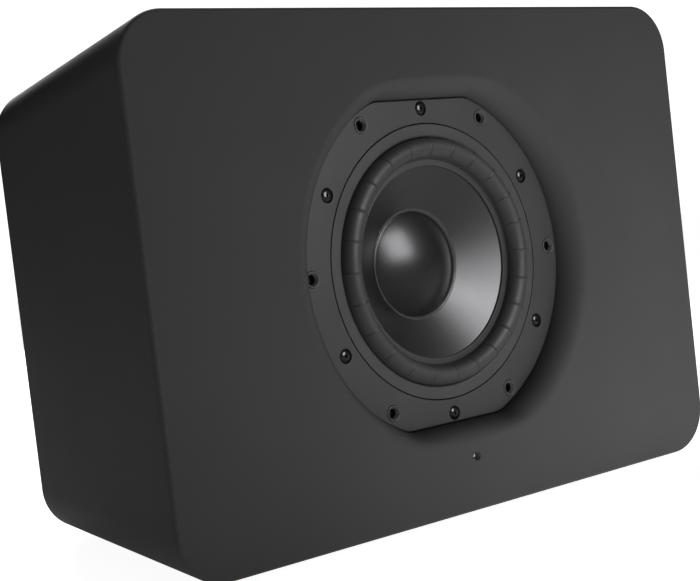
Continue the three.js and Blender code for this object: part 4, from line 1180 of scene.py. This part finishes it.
def world():
    w = bpy.data.worlds.new("studio")
    bpy.context.scene.world = w
    w.use_nodes = True
    nt = w.node_tree
    nt.nodes.clear()
    out = nt.nodes.new("ShaderNodeOutputWorld")
    bg = nt.nodes.new("ShaderNodeBackground")
    cam = nt.nodes.new("ShaderNodeBackground")
    cam.inputs["Color"].default_value = (1, 1, 1, 1)
    cam.inputs["Strength"].default_value = 1.2
    mix = nt.nodes.new("ShaderNodeMixShader")
    lp = nt.nodes.new("ShaderNodeLightPath")
    nt.links.new(lp.outputs["Is Camera Ray"], mix.inputs["Fac"])
    nt.links.new(bg.outputs[0], mix.inputs[1])
    nt.links.new(cam.outputs[0], mix.inputs[2])
    nt.links.new(mix.outputs[0], out.inputs["Surface"])
    tc = nt.nodes.new("ShaderNodeTexCoord")
    total = None
    for d_, p, w_ in (((0, 0, 1), 2.0, ZEN), ((0.86, -0.50, 0.05), 4.0, RIGHT), ((0.15, -0.85, 0.55), 3.0, FRONT)):
        dot = nt.nodes.new("ShaderNodeVectorMath")
        dot.operation = "DOT_PRODUCT"
        dot.inputs[1].default_value = Vector(d_).normalized()
        nt.links.new(tc.outputs["Generated"], dot.inputs[0])
        mx = nt.nodes.new("ShaderNodeMath")
        mx.operation = "MAXIMUM"
        mx.inputs[1].default_value = 0.0
        nt.links.new(dot.outputs["Value"], mx.inputs[0])
        pw = nt.nodes.new("ShaderNodeMath")
        pw.operation = "POWER"
        pw.inputs[1].default_value = p
        nt.links.new(mx.outputs[0], pw.inputs[0])
        ma = nt.nodes.new("ShaderNodeMath")
        ma.operation = "MULTIPLY_ADD"
        ma.inputs[1].default_value = w_
        ma.inputs[2].default_value = AMB
        nt.links.new(pw.outputs[0], ma.inputs[0])
        if total is not None:
            nt.links.new(total, ma.inputs[2])
        total = ma.outputs[0]
    bg.inputs["Color"].default_value = (1, 1, 1, 1)
    nt.links.new(total, bg.inputs["Strength"])


backdrop()
world()
drv = (0.0, FY * MM, DRV_Z * MM)
# the key softbox, one for each finish in the driver: coated metal, bare cone, domed cap
CONE_PARTS, CAP_PARTS = ("driver_cone",), ("driver_dust_cap", "driver_cap_glue")


def key_light(name, direction, power, wanted):
    if not power:
        return
    li = area(name, Vector(drv) + Vector(direction).normalized() * 1.7, drv, 0.88, power)
    lit = bpy.data.collections.new("lit_by_" + name)
    for o in bpy.data.objects:
        if o.type == "MESH" and wanted(o.name):
            lit.objects.link(o)
    li.light_linking.receiver_collection = lit


key_light("key", (0.365, -0.893, 0.262), KEY,
          lambda n: n.startswith(("driver_", "grille_socket_cup")) and n not in CONE_PARTS + CAP_PARTS)
key_light("key_cone", (0.365, -0.91, 0.19), KEY_CONE, lambda n: n in CONE_PARTS)
key_light("key_cap", (0.27, -0.90, 0.36), KEY_CAP, lambda n: n in CAP_PARTS)
# low softbox close to the right of the front face, which the flange and cone don't see
if SIDE:
    side = area("side", (0.78, -0.62, 0.24), (0.24, -0.08, 0.18), 0.45, SIDE)
    box = bpy.data.collections.new("lit_by_side")
    for o in bpy.data.objects:
        if o.type == "MESH" and o.name.startswith("cabinet_"):
            box.objects.link(o)
    side.light_linking.receiver_collection = box
# these two sit behind the front face, so they only reach the top, the back and the right side
if TOP:
    area("top", (0.45, 0.55, 1.45), (0.0, 0.05, 0.30), 0.9, TOP)
if BACK:
    area("back", (0.75, 1.75, 0.75), (0.0, 0.08, 0.17), 1.1, BACK)

scene = bpy.context.scene
scene.view_settings.view_transform = "Standard"
scene.view_settings.look = "None"
scene.view_settings.exposure = 0.0
scene.view_settings.gamma = 1.0

# ---------------------------------------------------------------------- camera
CX, CY, CZ = -0.5117054, -0.4495964, 0.1866174
YAW, PITCH, ROLL = 0.3203473, -0.0303854, -0.1332680
FOCAL, PX, PY = 775.1385, -98.180, 335.238
d = Vector((math.sin(YAW) * math.cos(PITCH), math.cos(YAW) * math.cos(PITCH), math.sin(PITCH)))
r = d.cross(Vector((0, 0, 1))).normalized()
u = r.cross(d)
r2 = r * math.cos(ROLL) + u * math.sin(ROLL)
u2 = -r * math.sin(ROLL) + u * math.cos(ROLL)
cam = bpy.data.cameras.new("camera")
cam.sensor_fit, cam.sensor_width = "HORIZONTAL", 36.0
cam.lens = FOCAL / 700.0 * 36.0
cam_ob = bpy.data.objects.new("camera", cam)
scene.collection.objects.link(cam_ob)
rot = Matrix((r2, u2, -d)).transposed()
cam_ob.matrix_world = Matrix.Translation((CX, CY, CZ)) @ rot.to_4x4()
cam.clip_start, cam.clip_end = 0.01, 100.0
scene.camera = cam_ob
SHIFT = {"shift_x": (350.0 - PX) / 700.0, "shift_y": (PY - 290.5) / 700.0}
for prop, val in SHIFT.items():
    # the lens shift belongs to this viewpoint only, so it goes when the camera is moved elsewhere
    dr = cam.driver_add(prop).driver
    dr.type = "SCRIPTED"
    var = dr.variables.new()
    var.name, var.type = "x", "SINGLE_PROP"
    var.targets[0].id_type = "OBJECT"
    var.targets[0].id = cam_ob
    var.targets[0].data_path = "location[0]"
    dr.expression = f"{val:.6f} if abs(x - {CX:.6f}) < 0.0005 else 0.0"
